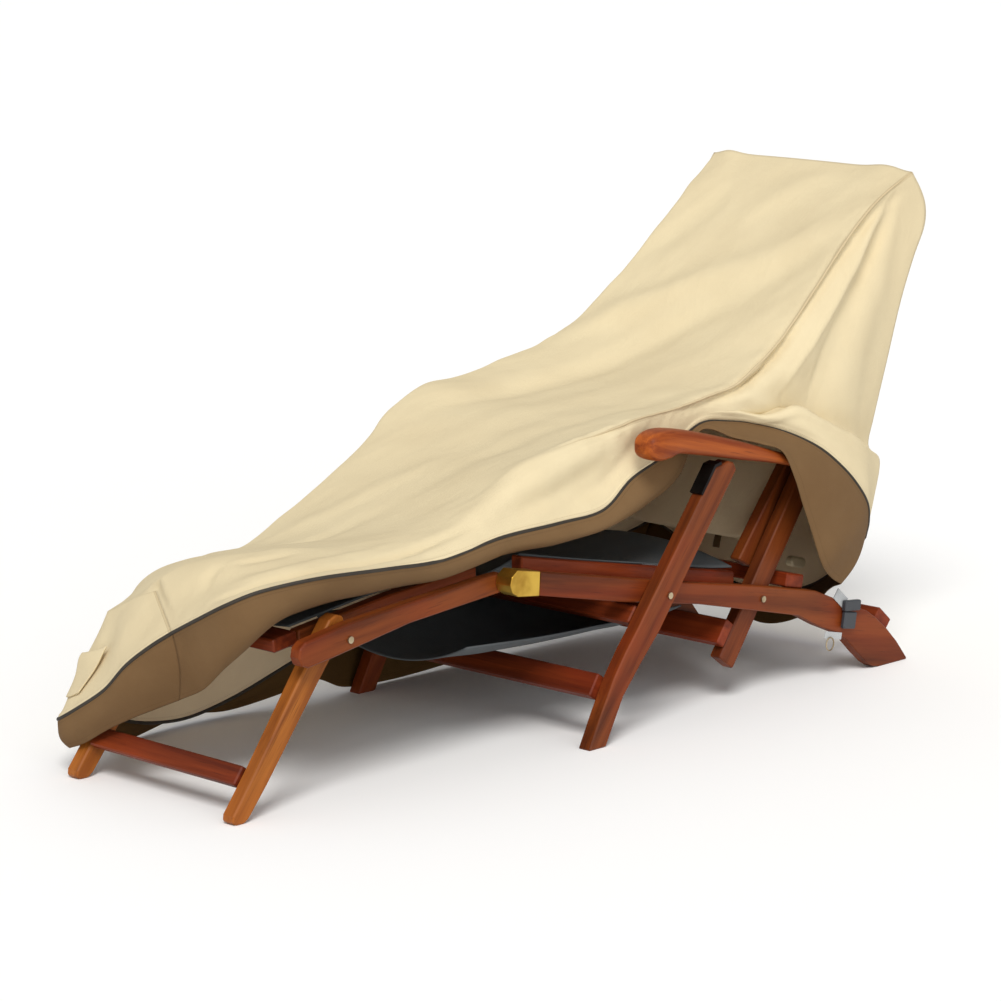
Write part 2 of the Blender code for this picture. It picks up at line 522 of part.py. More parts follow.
ARMREST = [(0.146, 0.506), (0.152, 0.491), (0.168, 0.482), (0.190, 0.480), (0.208, 0.486), (0.225, 0.488),
           (0.250, 0.484), (0.300, 0.475), (0.400, 0.455), (0.490, 0.438), (0.680, 0.396), (0.684, 0.408),
           (0.600, 0.431), (0.493, 0.461), (0.400, 0.489), (0.300, 0.516), (0.240, 0.529), (0.200, 0.535),
           (0.172, 0.534), (0.153, 0.524)]
FOOT_RAIL = [(-0.150, 0.326), (-0.150, 0.294), (-0.195, 0.290), (-0.368, 0.275), (-0.539, 0.246),
             (-0.595, 0.238), (-0.609, 0.243), (-0.615, 0.257), (-0.612, 0.272), (-0.600, 0.281),
             (-0.503, 0.297), (-0.350, 0.311), (-0.195, 0.324)]
FAR_FOOT_RAIL = [(-0.150, 0.326), (-0.150, 0.294), (-0.195, 0.290), (-0.368, 0.275), (-0.525, 0.249),
                 (-0.550, 0.243), (-0.564, 0.247), (-0.570, 0.258), (-0.567, 0.269), (-0.555, 0.276),
                 (-0.480, 0.292), (-0.350, 0.309), (-0.195, 0.324)]     # shorter, clear of the cloth
FOOT_LEG = [(-0.724, 0.0), (-0.708, 0.0), (-0.697, 0.008), (-0.659, 0.054), (-0.544, 0.205), (-0.497, 0.266),
            (-0.487, 0.288), (-0.492, 0.302), (-0.506, 0.307), (-0.522, 0.300), (-0.582, 0.222),
            (-0.684, 0.079), (-0.732, 0.016), (-0.733, 0.005)]
FOOT_INNER = [(-0.150, 0.328), (-0.150, 0.298), (-0.350, 0.280), (-0.558, 0.252), (-0.558, 0.283),
              (-0.350, 0.311)]
SEAT_RAIL = [(-0.090, 0.343), (-0.090, 0.300), (0.200, 0.243), (0.470, 0.190), (0.470, 0.233),
             (0.200, 0.285)]
BACK_RAIL = [(0.486, 0.252), (0.522, 0.232), (0.670, 0.404), (0.922, 0.872), (0.920, 0.892), (0.902, 0.900),
             (0.885, 0.893), (0.640, 0.440)]
HINGE_CAP = [(-0.100, 0.284), (-0.150, 0.290), (-0.164, 0.298), (-0.170, 0.312), (-0.166, 0.326),
             (-0.152, 0.336), (-0.098, 0.326)]


def build_slings():
    """Dark canvas: on the footrest, on the seat, sagging under it, and down the back."""
    across = np.linspace(-1, 1, 7)
    tables = {  # x, z at the edges, z in the middle; then the half width
        "foot_sling": ([(-0.556, 0.286, 0.278), (-0.350, 0.314, 0.300), (-0.152, 0.331, 0.322)], 0.148),
        "seat_sling": ([(-0.080, 0.344, 0.270), (0.060, 0.316, 0.262), (0.200, 0.290, 0.264),
                        (0.320, 0.268, 0.274), (0.420, 0.251, 0.279), (0.480, 0.243, 0.266)], 0.194),
        "under_sling": ([(-0.190, 0.196, 0.148), (0.000, 0.184, 0.136), (0.180, 0.180, 0.132),
                         (0.360, 0.182, 0.130)], 0.190),
    }
    for name, (rows, half) in tables.items():
        run = lay(rows, 12)
        height = mix(run[:, 2:3], run[:, 1:2], across[None, :] ** 2)
        grid = np.stack([np.repeat(run[:, :1], 7, axis=1), half * np.tile(across, (12, 1)), height], axis=2)
        thick_sheet(name, grid, normals_of(grid), "sling_cloth", SLING)
    slope = lay([(0.545, 0.272), (0.700, 0.540), (0.864, 0.838)], 10)
    sag = 0.020 * np.sin(np.linspace(0, math.pi, 10))
    grid = np.stack([slope[:, :1] + sag[:, None] * (1 - across[None, :] ** 2) + 0.012,
                     0.193 * np.tile(across, (10, 1)), np.repeat(slope[:, 1:], 7, axis=1)], axis=2)
    thick_sheet("back_sling", grid, normals_of(grid), "sling_cloth", SLING)


def build_chair():
    for side, word in ((NEAR, "near"), (FAR, "far")):
        plate(f"front_leg_{word}", FRONT_LEG, *FRONT_LEG_Y, side)
        plate(f"main_rail_{word}", MAIN_RAIL, *RAIL_Y, side)
        plate(f"armrest_{word}", ARMREST, *ARM_Y, side, bevel=0.006)
        plate(f"rear_leg_{word}", capsule((0.421, 0.074), (0.642, 0.383), 0.046, True), *REAR_LEG_Y, side)
        outline = FOOT_RAIL if side == NEAR else FAR_FOOT_RAIL
        plate(f"foot_rail_{word}", outline, *FOOT_RAIL_Y, side)
        plate(f"foot_leg_{word}", FOOT_LEG, *FOOT_LEG_Y, side)
        plate(f"foot_inner_rail_{word}", FOOT_INNER, *FOOT_INNER_Y, side)
        plate(f"seat_rail_{word}", SEAT_RAIL, *SEAT_RAIL_Y, side)
        plate(f"back_rail_{word}", BACK_RAIL, *BACK_RAIL_Y, side)
        cap = (FOOT_RAIL_Y[1] + FIT_GAP, RAIL_Y[1] + 0.001)
        plate(f"hinge_cap_{word}", HINGE_CAP, *cap, side, "brass", 0.001)
        bolt(f"leg_bolt_{word}", 0.202, 0.242, FRONT_LEG_Y[1], side)
        bolt(f"rail_bolt_{word}", 0.491, 0.186, RAIL_Y[1], side)
        bolt(f"foot_bolt_{word}", -0.505, 0.270, FOOT_RAIL_Y[1], side)
        plate(f"front_bracket_{word}", FRONT_BRACKET, *FRONT_LEG_Y, side, "dark_metal", 0)
    cross_bar("front_stretcher_low", (0.049, 0.100), (0.042, 0.024), 57, 0.2720)
    cross_bar("front_stretcher_high", (0.143, 0.210), (0.034, 0.020), 52, 0.2720)
    cross_bar("rear_stretcher", (0.418, 0.130), (0.048, 0.022), 54, 0.2475)
    cross_bar("prop_bar", (0.596, 0.2018), (0.050, 0.026), -12, 0.2620)
    cross_bar("tail_bar", (0.882, 0.082), (0.046, 0.026), -40, 0.2477)
    cross_bar("foot_stretcher", (-0.690, 0.067), (0.034, 0.018), 54, 0.1806)
    cross_bar("foot_slat", (-0.587, 0.269), (0.052, 0.022), 8, 0.1740)
    cross_bar("back_top_bar", (0.890, 0.865), (0.050, 0.020), 62, 0.1946)


def stand_at_origin():
    """Hangs everything from one empty that puts the middle of the bounding box's base on the origin."""
    corners = []
    bpy.context.view_layer.update()
    for item in bpy.context.scene.objects:
        corners += [item.matrix_world @ Vector(corner) for corner in item.bound_box]
    low, high = np.min(corners, axis=0), np.max(corners, axis=0)
    stand = bpy.data.objects.new("stand", None)
    bpy.context.scene.collection.objects.link(stand)
    stand.location = (-(low[0] + high[0]) / 2, -(low[1] + high[1]) / 2, -low[2])
    for item in list(bpy.context.scene.objects):
        if item is not stand:
            item.parent = stand


clear_scene()
build_cover()
build_fastening()
build_slings()
build_chair()
stand_at_origin()
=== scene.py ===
# %% [markdown]
# # A weather cover thrown over a folding wooden lounge chair
# The cover is cut and sewn from a few canvas panels, and it hangs on a real chair, so almost every
# shape in it is a shape of the chair softened by cloth.  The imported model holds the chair's bars and the
# cloth's true hanging form.  This script keeps the bars, and gives the cloth its folds, seams and weave.

# %% Load the frame
import math

import bmesh
import bpy
import numpy as np
from mathutils import Matrix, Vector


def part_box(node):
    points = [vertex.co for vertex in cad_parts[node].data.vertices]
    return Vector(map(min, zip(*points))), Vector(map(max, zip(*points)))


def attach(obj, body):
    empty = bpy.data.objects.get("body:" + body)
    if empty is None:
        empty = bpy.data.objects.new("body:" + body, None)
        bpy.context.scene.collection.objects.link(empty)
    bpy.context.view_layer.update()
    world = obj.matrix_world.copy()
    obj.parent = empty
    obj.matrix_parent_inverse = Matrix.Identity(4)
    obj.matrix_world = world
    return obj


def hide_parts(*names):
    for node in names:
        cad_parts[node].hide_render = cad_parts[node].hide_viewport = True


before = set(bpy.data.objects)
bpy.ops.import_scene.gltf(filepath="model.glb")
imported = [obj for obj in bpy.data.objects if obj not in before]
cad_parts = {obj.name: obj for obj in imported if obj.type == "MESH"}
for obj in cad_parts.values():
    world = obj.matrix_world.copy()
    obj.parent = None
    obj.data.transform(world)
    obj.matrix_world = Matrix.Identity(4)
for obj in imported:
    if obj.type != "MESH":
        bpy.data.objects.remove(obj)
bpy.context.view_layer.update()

# %% [markdown]
# The tables below measure from the toe of the chair's near front leg, the way a maker would chalk the
# chair's side view on a bench.  One offset, read from that leg's box, carries them into the frame.

# %% Where the tables' zero is
LEG_TOE = np.array([-0.002, -0.300, 0.0])          # the toe in the tables' own measures
BENCH = np.array(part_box("front_leg_near")[0]) - LEG_TOE
print("bench offset", BENCH.round(4))

# %% [markdown]
# ## Camera
# The camera stands off the foot end, on the open side, a little above the back's top, with a long lens.
# A long lens keeps the legs nearly parallel.

# %% Camera
AZIMUTH, ELEVATION, ROLL = -46.028, 10.763, 0.149      # degrees
EYE = np.array([-4.0999, -4.0390, 1.4916])             # in the tables' measures
LENS, SENSOR = 120.19, 36.0                            # millimetres


def aim(azimuth, elevation, roll):
    """Right, up and back as unit vectors: back points from the subject to the eye, then the roll turns
    the other two."""
    a, e, r = (math.radians(v) for v in (azimuth, elevation, roll))
    back = np.array([math.sin(a) * math.cos(e), -math.cos(a) * math.cos(e), math.sin(e)])
    right = np.array([math.cos(a), math.sin(a), 0.0])
    up = np.cross(back, right)
    return math.cos(r) * right + math.sin(r) * up, math.cos(r) * up - math.sin(r) * right, back


def placed(right, up, back, spot):
    """A 4 by 4 matrix from three axes and a place."""
    turn = np.eye(4)
    turn[:3, 0], turn[:3, 1], turn[:3, 2], turn[:3, 3] = right, up, back, spot
    return Matrix(turn.tolist())


def add_camera():
    data = bpy.data.cameras.new("studio camera")
    data.lens, data.sensor_width = LENS, SENSOR
    data.clip_start, data.clip_end = 0.1, 200
    camera = bpy.data.objects.new("studio camera", data)
    bpy.context.scene.collection.objects.link(camera)
    camera.matrix_world = placed(*aim(AZIMUTH, ELEVATION, ROLL), EYE + BENCH)
    bpy.context.scene.camera = camera


add_camera()

# %% [markdown]
# ## Paint box
# A finish is a small graph of nodes.  Written out node by node it hides its own idea, so one class lets
# a formula stand as a formula: `grain * 0.4 + 0.1` adds the two Math nodes by itself.

# %% A socket that can be added and multiplied
class Wire:
    """The output of a node.  Arithmetic on it adds Math nodes to the same finish."""

    def __init__(self, finish, socket):
        self.finish, self.socket = finish, socket

    def maths(self, operation, *values):
        return self.finish.node("Math", {"operation": operation}, dict(enumerate(values)))

    def __add__(self, other):
        return self.maths("ADD", self, other)

    def __sub__(self, other):
        return self.maths("SUBTRACT", self, other)

    def __rsub__(self, other):
        return self.maths("SUBTRACT", other, self)

    def __mul__(self, other):
        return self.maths("MULTIPLY", self, other)

    __radd__, __rmul__ = __add__, __mul__

    def sine(self):
        return self.maths("SINE", self)

    def near(self, value, width):
        """1 where this wire is within `width` of `value`, else 0."""
        return self.maths("COMPARE", self, value, width)

    def smooth(self, low, high):
        """0 below `low`, 1 above `high`, and a soft step between."""
        made = {"Value": self, "From Min": low, "From Max": high, "To Min": 0.0, "To Max": 1.0}
        return self.finish.node("MapRange", {"interpolation_type": "SMOOTHSTEP"}, made)


# %% A finish
class Finish:
    """One material and its Principled shader.  `node` adds any node, `put` feeds the shader."""

    def __init__(self, name, **constants):
        self.material = bpy.data.materials.new(name)
        self.material.use_nodes = True
        self.tree = self.material.node_tree
        self.shader = self.tree.nodes["Principled BSDF"]
        self.put(**constants)

    def feed(self, socket, value):
        if isinstance(value, Wire):
            self.tree.links.new(value.socket, socket)
        else:
            socket.default_value = value

    def node(self, kind, settings=None, sockets=None, out=0):
        """Adds a node: its settings first, then a value or a wire for each named or numbered socket."""
        made = self.tree.nodes.new("ShaderNode" + kind)
        for key, value in (settings or {}).items():
            setattr(made, key, value)
        for key, value in (sockets or {}).items():
            self.feed(made.inputs[key], value)
        return Wire(self, made.outputs[out])

    def put(self, **values):
        for key, value in values.items():
            self.feed(self.shader.inputs[key.replace("_", " ")], value)

    def place(self, stretch=(1, 1, 1), turn=(0, 0, 0), shift=(0, 0, 0)):
        """Object coordinates, shifted, turned (degrees) and stretched: the pattern's own space."""
        spot = self.node("TexCoord", out=3)
        turned = self.node("Mapping", {"vector_type": "POINT"}, {
            "Vector": spot, "Location": shift, "Rotation": tuple(math.radians(t) for t in turn)})
        return self.node("Mapping", {"vector_type": "POINT"}, {"Vector": turned, "Scale": stretch})

    def noise(self, where, scale, detail=3.0, rough=0.5, distortion=0.0):
        return self.node("TexNoise", None, {"Vector": where, "Scale": scale, "Detail": detail,
                                            "Roughness": rough, "Distortion": distortion})

    def mixed(self, factor, first, second):
        """A colour between two colours."""
        return self.node("Mix", {"data_type": "RGBA"}, {0: factor, 6: first, 7: second}, out=2)

    def bump(self, height, distance, strength=1.0, under=None):
        sockets = {"Height": height, "Distance": distance, "Strength": strength}
        if under is not None:
            sockets["Normal"] = under
        return self.node("Bump", None, sockets)

    def measure(self, name):
        """A number stored on the mesh's points, such as a distance from a seam."""
        return self.node("Attribute", {"attribute_name": name}, out=2)


def colour(red, green, blue):
    """A screen colour, 0 to 255, as the linear colour that a shader reads."""
    share = np.array([red, green, blue]) / 255
    linear = np.where(share <= 0.04045, share / 12.92, ((share + 0.055) / 1.055) ** 2.4)
    return (*(float(v) for v in linear), 1.0)


print("paint box ready")

# %% [markdown]
# ## Canvas
# The cover is a plain-woven polyester canvas with a dull coating.  Up close it is a grid of threads;
# from a few steps it is a soft, slightly mottled colour, creased here and there.  The weave follows the
# cloth, so it reads the piece's own measures in metres; the mottling and the creases follow the object.

# %% Canvas finish
THREAD = 0.0011          # metres from one thread of the canvas to the next
STITCH = 0.0042          # and from one stitch to the next
STITCHED = (0.0045, 0.0085, 0.012)       # lines of stitches run this far from a seam, the piping and a hem
HALF_LINE = 0.0006       # half the width of such a line


def canvas(name, main, shade, thread_and_shade_colour):
    """Woven cloth: two crossed waves for the threads, soft noise for mottling and small creases, and
    lines of stitches at set distances from a seam, the piping and a hem.  Right by a seam the cloth dips
    and is darkened towards the thread colour: painted shade in the seam's crevice."""
    finish = Finish(name, Specular_IOR_Level=0.2)
    run = finish.measure("run")
    girth = finish.measure("girth")
    turn = 2 * math.pi / THREAD
    weave = (run * turn).sine() * (girth * turn).sine() * 0.5 + 0.5
    plain = finish.place()
    mottle = finish.noise(plain, 7.0, 4.0, 0.6)
    cloudy = finish.noise(plain, 2.2, 2.0, 0.5)
    creased = finish.noise(finish.place((1.0, 1.6, 1.0)), 16.0, 5.0, 0.62, 0.6)
    tone = finish.mixed((mottle * 0.55 + cloudy * 0.45).smooth(0.30, 0.70), main, shade)
    seam, edge, hem = (finish.measure(key) for key in ("seam", "edge", "hem"))
    by_seam, by_edge, by_hem = STITCHED
    lines = seam.near(by_seam, HALF_LINE) + edge.near(by_edge, HALF_LINE) + hem.near(by_hem, HALF_LINE)
    dashes = (run * (2 * math.pi / STITCH)).sine().smooth(-0.5, -0.1)
    sewing = lines * dashes
    # Painted shade: the colour darkens right by a seam, where the cloth tucks into a shaded crevice.
    seam_dip_and_shade = 1 - seam.smooth(0.0006, 0.0060)
    threads_and_painted_shade = finish.mixed(weave * 0.16 + sewing * 0.40 + seam_dip_and_shade * 0.42, tone, thread_and_shade_colour)
    finish.put(Base_Color=threads_and_painted_shade, Roughness=weave * -0.06 + 0.90)
    soft = finish.bump(creased, 0.0035, 0.5)
    finish.put(Normal=finish.bump(weave * 0.4 - sewing * 0.6 - seam_dip_and_shade * 0.4, 0.0006, 0.5, under=soft))
    return finish


# The third colour of each canvas is its thread colour, also used for the painted shade by a seam.
CREAM = canvas("cream canvas", colour(221, 206, 170), colour(214, 198, 162), colour(168, 146, 110))
# The backing is paler than the face: partly its own colour, partly painted light standing in for light that
# shines through the canvas.
CREAM_BACK = canvas("cream canvas backing", colour(236, 214, 178), colour(224, 200, 164),
                    colour(170, 146, 114))
BARK = canvas("bark brown canvas", colour(120, 93, 62), colour(110, 83, 53), colour(72, 53, 32))
BARK_BACK = canvas("bark canvas backing", colour(92, 66, 30), colour(80, 56, 26), colour(54, 38, 20))
SLATE = canvas("slate canvas", colour(92, 96, 98), colour(80, 84, 86), colour(54, 58, 60))
print("canvas:", [m.material.name for m in (CREAM, CREAM_BACK, BARK, BARK_BACK, SLATE)])

# %% [markdown]
# ## Curves and grids
# A canvas panel is a grid of points: ribs run across it, from hem to hem, and each rib is a row.  Tables
# hold a few ribs; a spline through the table gives as many as the mesh needs.

# %% Numbers on curves
def through(rows, where):
    """Catmull-Rom spline: the cubic through rows k and k+1 whose slopes are half the step between the
    neighbours on either side, read at fractional row numbers."""
    rows = np.asarray(rows, float)
    rows = rows.reshape(len(rows), -1)
    ends = np.vstack([2 * rows[0] - rows[1], rows, 2 * rows[-1] - rows[-2]])
    where = np.asarray(where, float)
    index = np.clip(np.floor(where).astype(int), 0, len(rows) - 2)
    t = (where - index)[..., None]
    a, b, c, d = (ends[index + k] for k in range(4))
    squared, cubed = 2 * a - 5 * b + 4 * c - d, 3 * b - a - 3 * c + d
    return 0.5 * (2 * b + (c - a) * t + squared * t ** 2 + cubed * t ** 3)


def lay_at(rows, share):
    """Points of a table at shares (0 to 1) of its rows."""
    return through(rows, np.asarray(share) * (len(rows) - 1))


def mix(a, b, t):
    return a * (1 - t) + b * t


def bell(distance, width):
    """1 at nothing, falling smoothly with distance: e to the minus (distance over width) squared."""
    return np.exp(-(distance / width) ** 2)


def step(value, low, high):
    """0 below `low`, 1 above `high`, smooth between."""
    t = np.clip((value - low) / (high - low), 0, 1)
    return t * t * (3 - 2 * t)


def steps(grid, axis):
    """Distance walked along one axis of a grid: the running sum of the lengths between its points."""
    walk = np.linalg.norm(np.diff(grid, axis=axis), axis=2).cumsum(axis=axis)
    pad = [(0, 0), (0, 0)]
    pad[axis] = (1, 0)
    return np.pad(walk, pad)


def normals_of(grid):
    """Unit normals: the cross product of a grid's two directions."""
    normal = np.cross(np.gradient(grid, axis=0), np.gradient(grid, axis=1))
    return normal / np.maximum(np.linalg.norm(normal, axis=2, keepdims=True), 1e-9)


# %% A grid made a mesh
def grid_piece(name, grid, finishes, wrap=False, **measures):
    """Puts a grid of points into a mesh of quads, with its measures in metres on the points."""
    rows, columns = grid.shape[:2]
    points = (grid + BENCH).reshape(-1, 3)
    number = np.arange(rows * columns).reshape(rows, columns)
    if wrap:
        number = np.hstack([number, number[:, :1]])
    corners = [number[:-1, :-1], number[1:, :-1], number[1:, 1:], number[:-1, 1:]]
    quads = np.stack(corners, axis=-1).reshape(-1, 4)
    mesh = bpy.data.meshes.new(name)
    mesh.from_pydata(points.tolist(), [], quads.tolist())
    mesh.polygons.foreach_set("use_smooth", np.ones(len(quads), bool))
    for key, value in measures.items():
        layer = mesh.attributes.new(key, "FLOAT", "POINT")
        layer.data.foreach_set("value", np.ravel(value).astype(np.float32))
    for finish in finishes:
        mesh.materials.append(finish.material)
    piece = bpy.data.objects.new(name, mesh)
    bpy.context.scene.collection.objects.link(piece)
    return piece


def thicken(piece, thickness):
    """Gives a single surface its thickness; the side that faces in takes the second finish."""
    wall = piece.modifiers.new("thickness", "SOLIDIFY")
    wall.thickness = thickness
    wall.offset = 0.0
    wall.material_offset = 1 if len(piece.data.materials) > 1 else 0
    return piece


def cloth(name, grid, finishes, thickness=0.0016, **distances):
    """A panel of canvas with the measures that its weave and stitching read: run and girth in metres, and
    the distances from a seam, the piping and a hem, which are 1 where there is none."""
    nowhere = np.ones(grid.shape[:2])
    measures = {"seam": nowhere, "edge": nowhere, "hem": nowhere, **distances}
    piece = grid_piece(name, grid, finishes, run=steps(grid, 0), girth=steps(grid, 1), **measures)
    return thicken(piece, thickness)


def area_of(grid):
    """Area of a grid: half the cross products of each quad's diagonals."""
    one = grid[1:, 1:] - grid[:-1, :-1]
    two = grid[1:, :-1] - grid[:-1, 1:]
    return float(0.5 * np.linalg.norm(np.cross(one, two), axis=2).sum())


print("grids ready")

# %% [markdown]
# ## The cover's cut
# A cover like this has a top panel from foot to head, two side panels, a foot end and a back, all sewn
# edge to edge.  A darker skirt runs round below, and a cord of piping stiffens the seam between them.
# The tables describe how it hangs: here the near side is thrown up over the armrest, so its hem rises
# and folds outwards.  Ribs are numbered 0 at the foot to 21 at the head.

# %% Tables of the ribs
# One row a rib, foot to head.  A rib starts at the near hem, rises over the near piping and the near
# seam, crosses the top and comes down the far side.
NEAR_SEAM = [  # x, y, z of the seam between the top panel and the near side
    (-0.630, 0.095, 0.318), (-0.605, 0.040, 0.348), (-0.570, -0.020, 0.370), (-0.515, -0.070, 0.384),
    (-0.420, -0.110, 0.390), (-0.300, -0.140, 0.400), (-0.180, -0.170, 0.434), (-0.075, -0.200, 0.490),
    (0.010, -0.218, 0.514), (0.105, -0.224, 0.531), (0.200, -0.232, 0.547), (0.290, -0.238, 0.556),
    (0.365, -0.243, 0.569), (0.430, -0.245, 0.579), (0.490, -0.243, 0.603), (0.550, -0.240, 0.637),
    (0.610, -0.240, 0.684), (0.670, -0.239, 0.737), (0.730, -0.238, 0.792), (0.790, -0.237, 0.842),
    (0.861, -0.238, 0.890), (0.943, -0.243, 0.929)]
NEAR_PIPING = [  # x, y, z of the seam between the near side and its skirt
    (-0.703, -0.030, 0.280), (-0.706, -0.100, 0.315), (-0.699, -0.160, 0.346), (-0.660, -0.200, 0.368),
    (-0.570, -0.238, 0.381), (-0.431, -0.250, 0.377), (-0.310, -0.250, 0.373), (-0.170, -0.250, 0.391),
    (-0.030, -0.249, 0.395), (0.085, -0.246, 0.402), (0.165, -0.240, 0.446), (0.250, -0.236, 0.474),
    (0.345, -0.236, 0.520), (0.420, -0.243, 0.518), (0.482, -0.263, 0.507), (0.540, -0.290, 0.486),
    (0.598, -0.311, 0.455), (0.655, -0.320, 0.413), (0.700, -0.321, 0.373), (0.738, -0.314, 0.334),
    (0.760, -0.300, 0.296), (0.775, -0.282, 0.262)]
NEAR_HEM = [  # x, y, z of the skirt's lower edge on the near side
    (-0.660, 0.005, 0.155), (-0.664, -0.060, 0.185), (-0.660, -0.105, 0.225), (-0.640, -0.140, 0.262),
    (-0.575, -0.145, 0.302), (-0.430, -0.155, 0.316), (-0.290, -0.180, 0.324), (-0.150, -0.200, 0.345),
    (-0.010, -0.225, 0.356), (0.120, -0.238, 0.370), (0.215, -0.240, 0.398), (0.290, -0.240, 0.434),
    (0.342, -0.2450, 0.510), (0.398, -0.278, 0.4935), (0.443, -0.302, 0.4805), (0.482, -0.318, 0.464),
    (0.512, -0.323, 0.413), (0.536, -0.323, 0.362), (0.565, -0.322, 0.306), (0.602, -0.318, 0.240),
    (0.650, -0.302, 0.206), (0.692, -0.292, 0.186)]
NEAR_CREST = [  # x, y, z of the ridge where the side is thrown outwards over the arm, ribs 13 to 21
    (0.424, -0.254, 0.534), (0.486, -0.276, 0.522), (0.548, -0.290, 0.526), (0.606, -0.296, 0.505),
    (0.660, -0.296, 0.483), (0.708, -0.294, 0.463), (0.752, -0.286, 0.441), (0.796, -0.268, 0.416),
    (0.840, -0.247, 0.392)]
FIRST_CREST_RIB = 13
TUCK = (0.002, 0.034, -0.010)      # where the cloth dips behind that ridge, measured from the ridge
SIDE_PROFILE = [  # share of the way from seam to ridge, share of the backward bow, share of the tuck
    (0.07, 0.62, 0.0), (0.13, 0.95, 0.0), (0.20, 1.00, 0.0), (0.30, 0.66, 0.0), (0.45, 0.36, 0.1),
    (0.65, 0.34, 0.5), (0.84, 0.33, 0.9), (0.94, 0.32, 1.0), (1.00, 0.31, 0.0)]
BACKWARD_BOW = {19: 0.008, 20: 0.024, 21: 0.060}   # how far the near side stands back of a straight rib
FAR_SEAM = [  # x, y, z of the seam between the top panel and the far side
    (-0.548, 0.266, 0.262), (-0.523, 0.273, 0.281), (-0.486, 0.276, 0.297), (-0.440, 0.275, 0.306),
    (-0.360, 0.277, 0.312), (-0.280, 0.279, 0.317), (-0.155, 0.281, 0.372), (-0.040, 0.285, 0.429),
    (0.035, 0.290, 0.470), (0.108, 0.311, 0.512), (0.190, 0.313, 0.546), (0.270, 0.311, 0.555),
    (0.350, 0.304, 0.569), (0.430, 0.295, 0.586), (0.495, 0.284, 0.605), (0.555, 0.268, 0.632),
    (0.610, 0.255, 0.677), (0.668, 0.247, 0.724), (0.730, 0.242, 0.777), (0.792, 0.239, 0.826),
    (0.862, 0.237, 0.884), (0.934, 0.236, 0.937)]
FAR_PIPING = [
    (-0.630, 0.283, 0.102), (-0.582, 0.302, 0.064), (-0.525, 0.313, 0.040), (-0.455, 0.318, 0.022),
    (-0.370, 0.320, 0.016), (-0.270, 0.321, 0.032), (-0.160, 0.322, 0.062), (-0.060, 0.323, 0.092),
    (0.030, 0.324, 0.116), (0.110, 0.325, 0.130), (0.195, 0.326, 0.138), (0.275, 0.326, 0.142),
    (0.350, 0.326, 0.146), (0.425, 0.325, 0.150), (0.490, 0.324, 0.154), (0.550, 0.323, 0.157),
    (0.605, 0.323, 0.161), (0.660, 0.322, 0.166), (0.715, 0.321, 0.173), (0.765, 0.319, 0.182),
    (0.810, 0.316, 0.192), (0.845, 0.310, 0.205)]
FAR_HEM = [
    (-0.597, 0.276, 0.028), (-0.578, 0.286, 0.013), (-0.550, 0.299, 0.003), (-0.478, 0.324, 0.004),
    (-0.366, 0.337, 0.016), (-0.272, 0.328, 0.009), (-0.165, 0.312, 0.022), (-0.080, 0.307, 0.036),
    (-0.010, 0.305, 0.010), (0.090, 0.305, 0.003), (0.185, 0.305, 0.004), (0.270, 0.306, 0.008),
    (0.345, 0.307, 0.014), (0.420, 0.308, 0.016), (0.485, 0.309, 0.020), (0.545, 0.310, 0.024),
    (0.600, 0.310, 0.028), (0.655, 0.309, 0.034), (0.705, 0.308, 0.046), (0.745, 0.306, 0.066),
    (0.778, 0.304, 0.092), (0.802, 0.300, 0.124)]
TOP_CROWN = [  # how far the top panel's middle stands above (or sags below) a straight rib
    0.004, 0.010, 0.013, 0.012, 0.008, 0.004, -0.004, -0.012, -0.018, -0.020, -0.022, -0.022,
    -0.020, -0.016, -0.012, -0.010, -0.008, -0.008, -0.007, -0.006, -0.002, 0.006]
CROWN_POWERS = (0.6, 2.0)          # a crown drops late, near the seams; a sag keeps clear of them
FOOT_ROUNDING = 1.4                # ribs over which the top panel's end is rounded like the foot end
FAR_BULGE = [  # how far the far side stands out of a straight rib
    0.006, 0.008, 0.010, 0.012, 0.012, 0.012, 0.012, 0.012, 0.012, 0.014, 0.014, 0.016,
    0.022, 0.028, 0.030, 0.032, 0.032, 0.030, 0.026, 0.020, 0.014, 0.006]

# the foot end, from the near corner round to the far corner
FOOT_TOP = [(-0.630, 0.095, 0.318), (-0.636, 0.130, 0.305), (-0.636, 0.165, 0.289), (-0.630, 0.200, 0.273),
            (-0.623, 0.228, 0.262), (-0.597, 0.250, 0.255), (-0.548, 0.266, 0.262)]
FOOT_PIPING = [(-0.703, -0.030, 0.280), (-0.718, 0.010, 0.252), (-0.730, 0.055, 0.216),
               (-0.734, 0.105, 0.168), (-0.740, 0.170, 0.126), (-0.732, 0.230, 0.096),
               (-0.630, 0.283, 0.102)]
FOOT_HEM = [(-0.660, 0.005, 0.155), (-0.676, 0.045, 0.136), (-0.696, 0.085, 0.116), (-0.708, 0.130, 0.092),
            (-0.716, 0.180, 0.062), (-0.708, 0.230, 0.042), (-0.597, 0.276, 0.028)]
PULL_STRIP = [  # its corners on the foot end, as shares across and down: two at the top, two at the bottom
    (0.48, 0.515), (0.695, 0.46), (0.68, 0.84), (0.885, 0.785)]

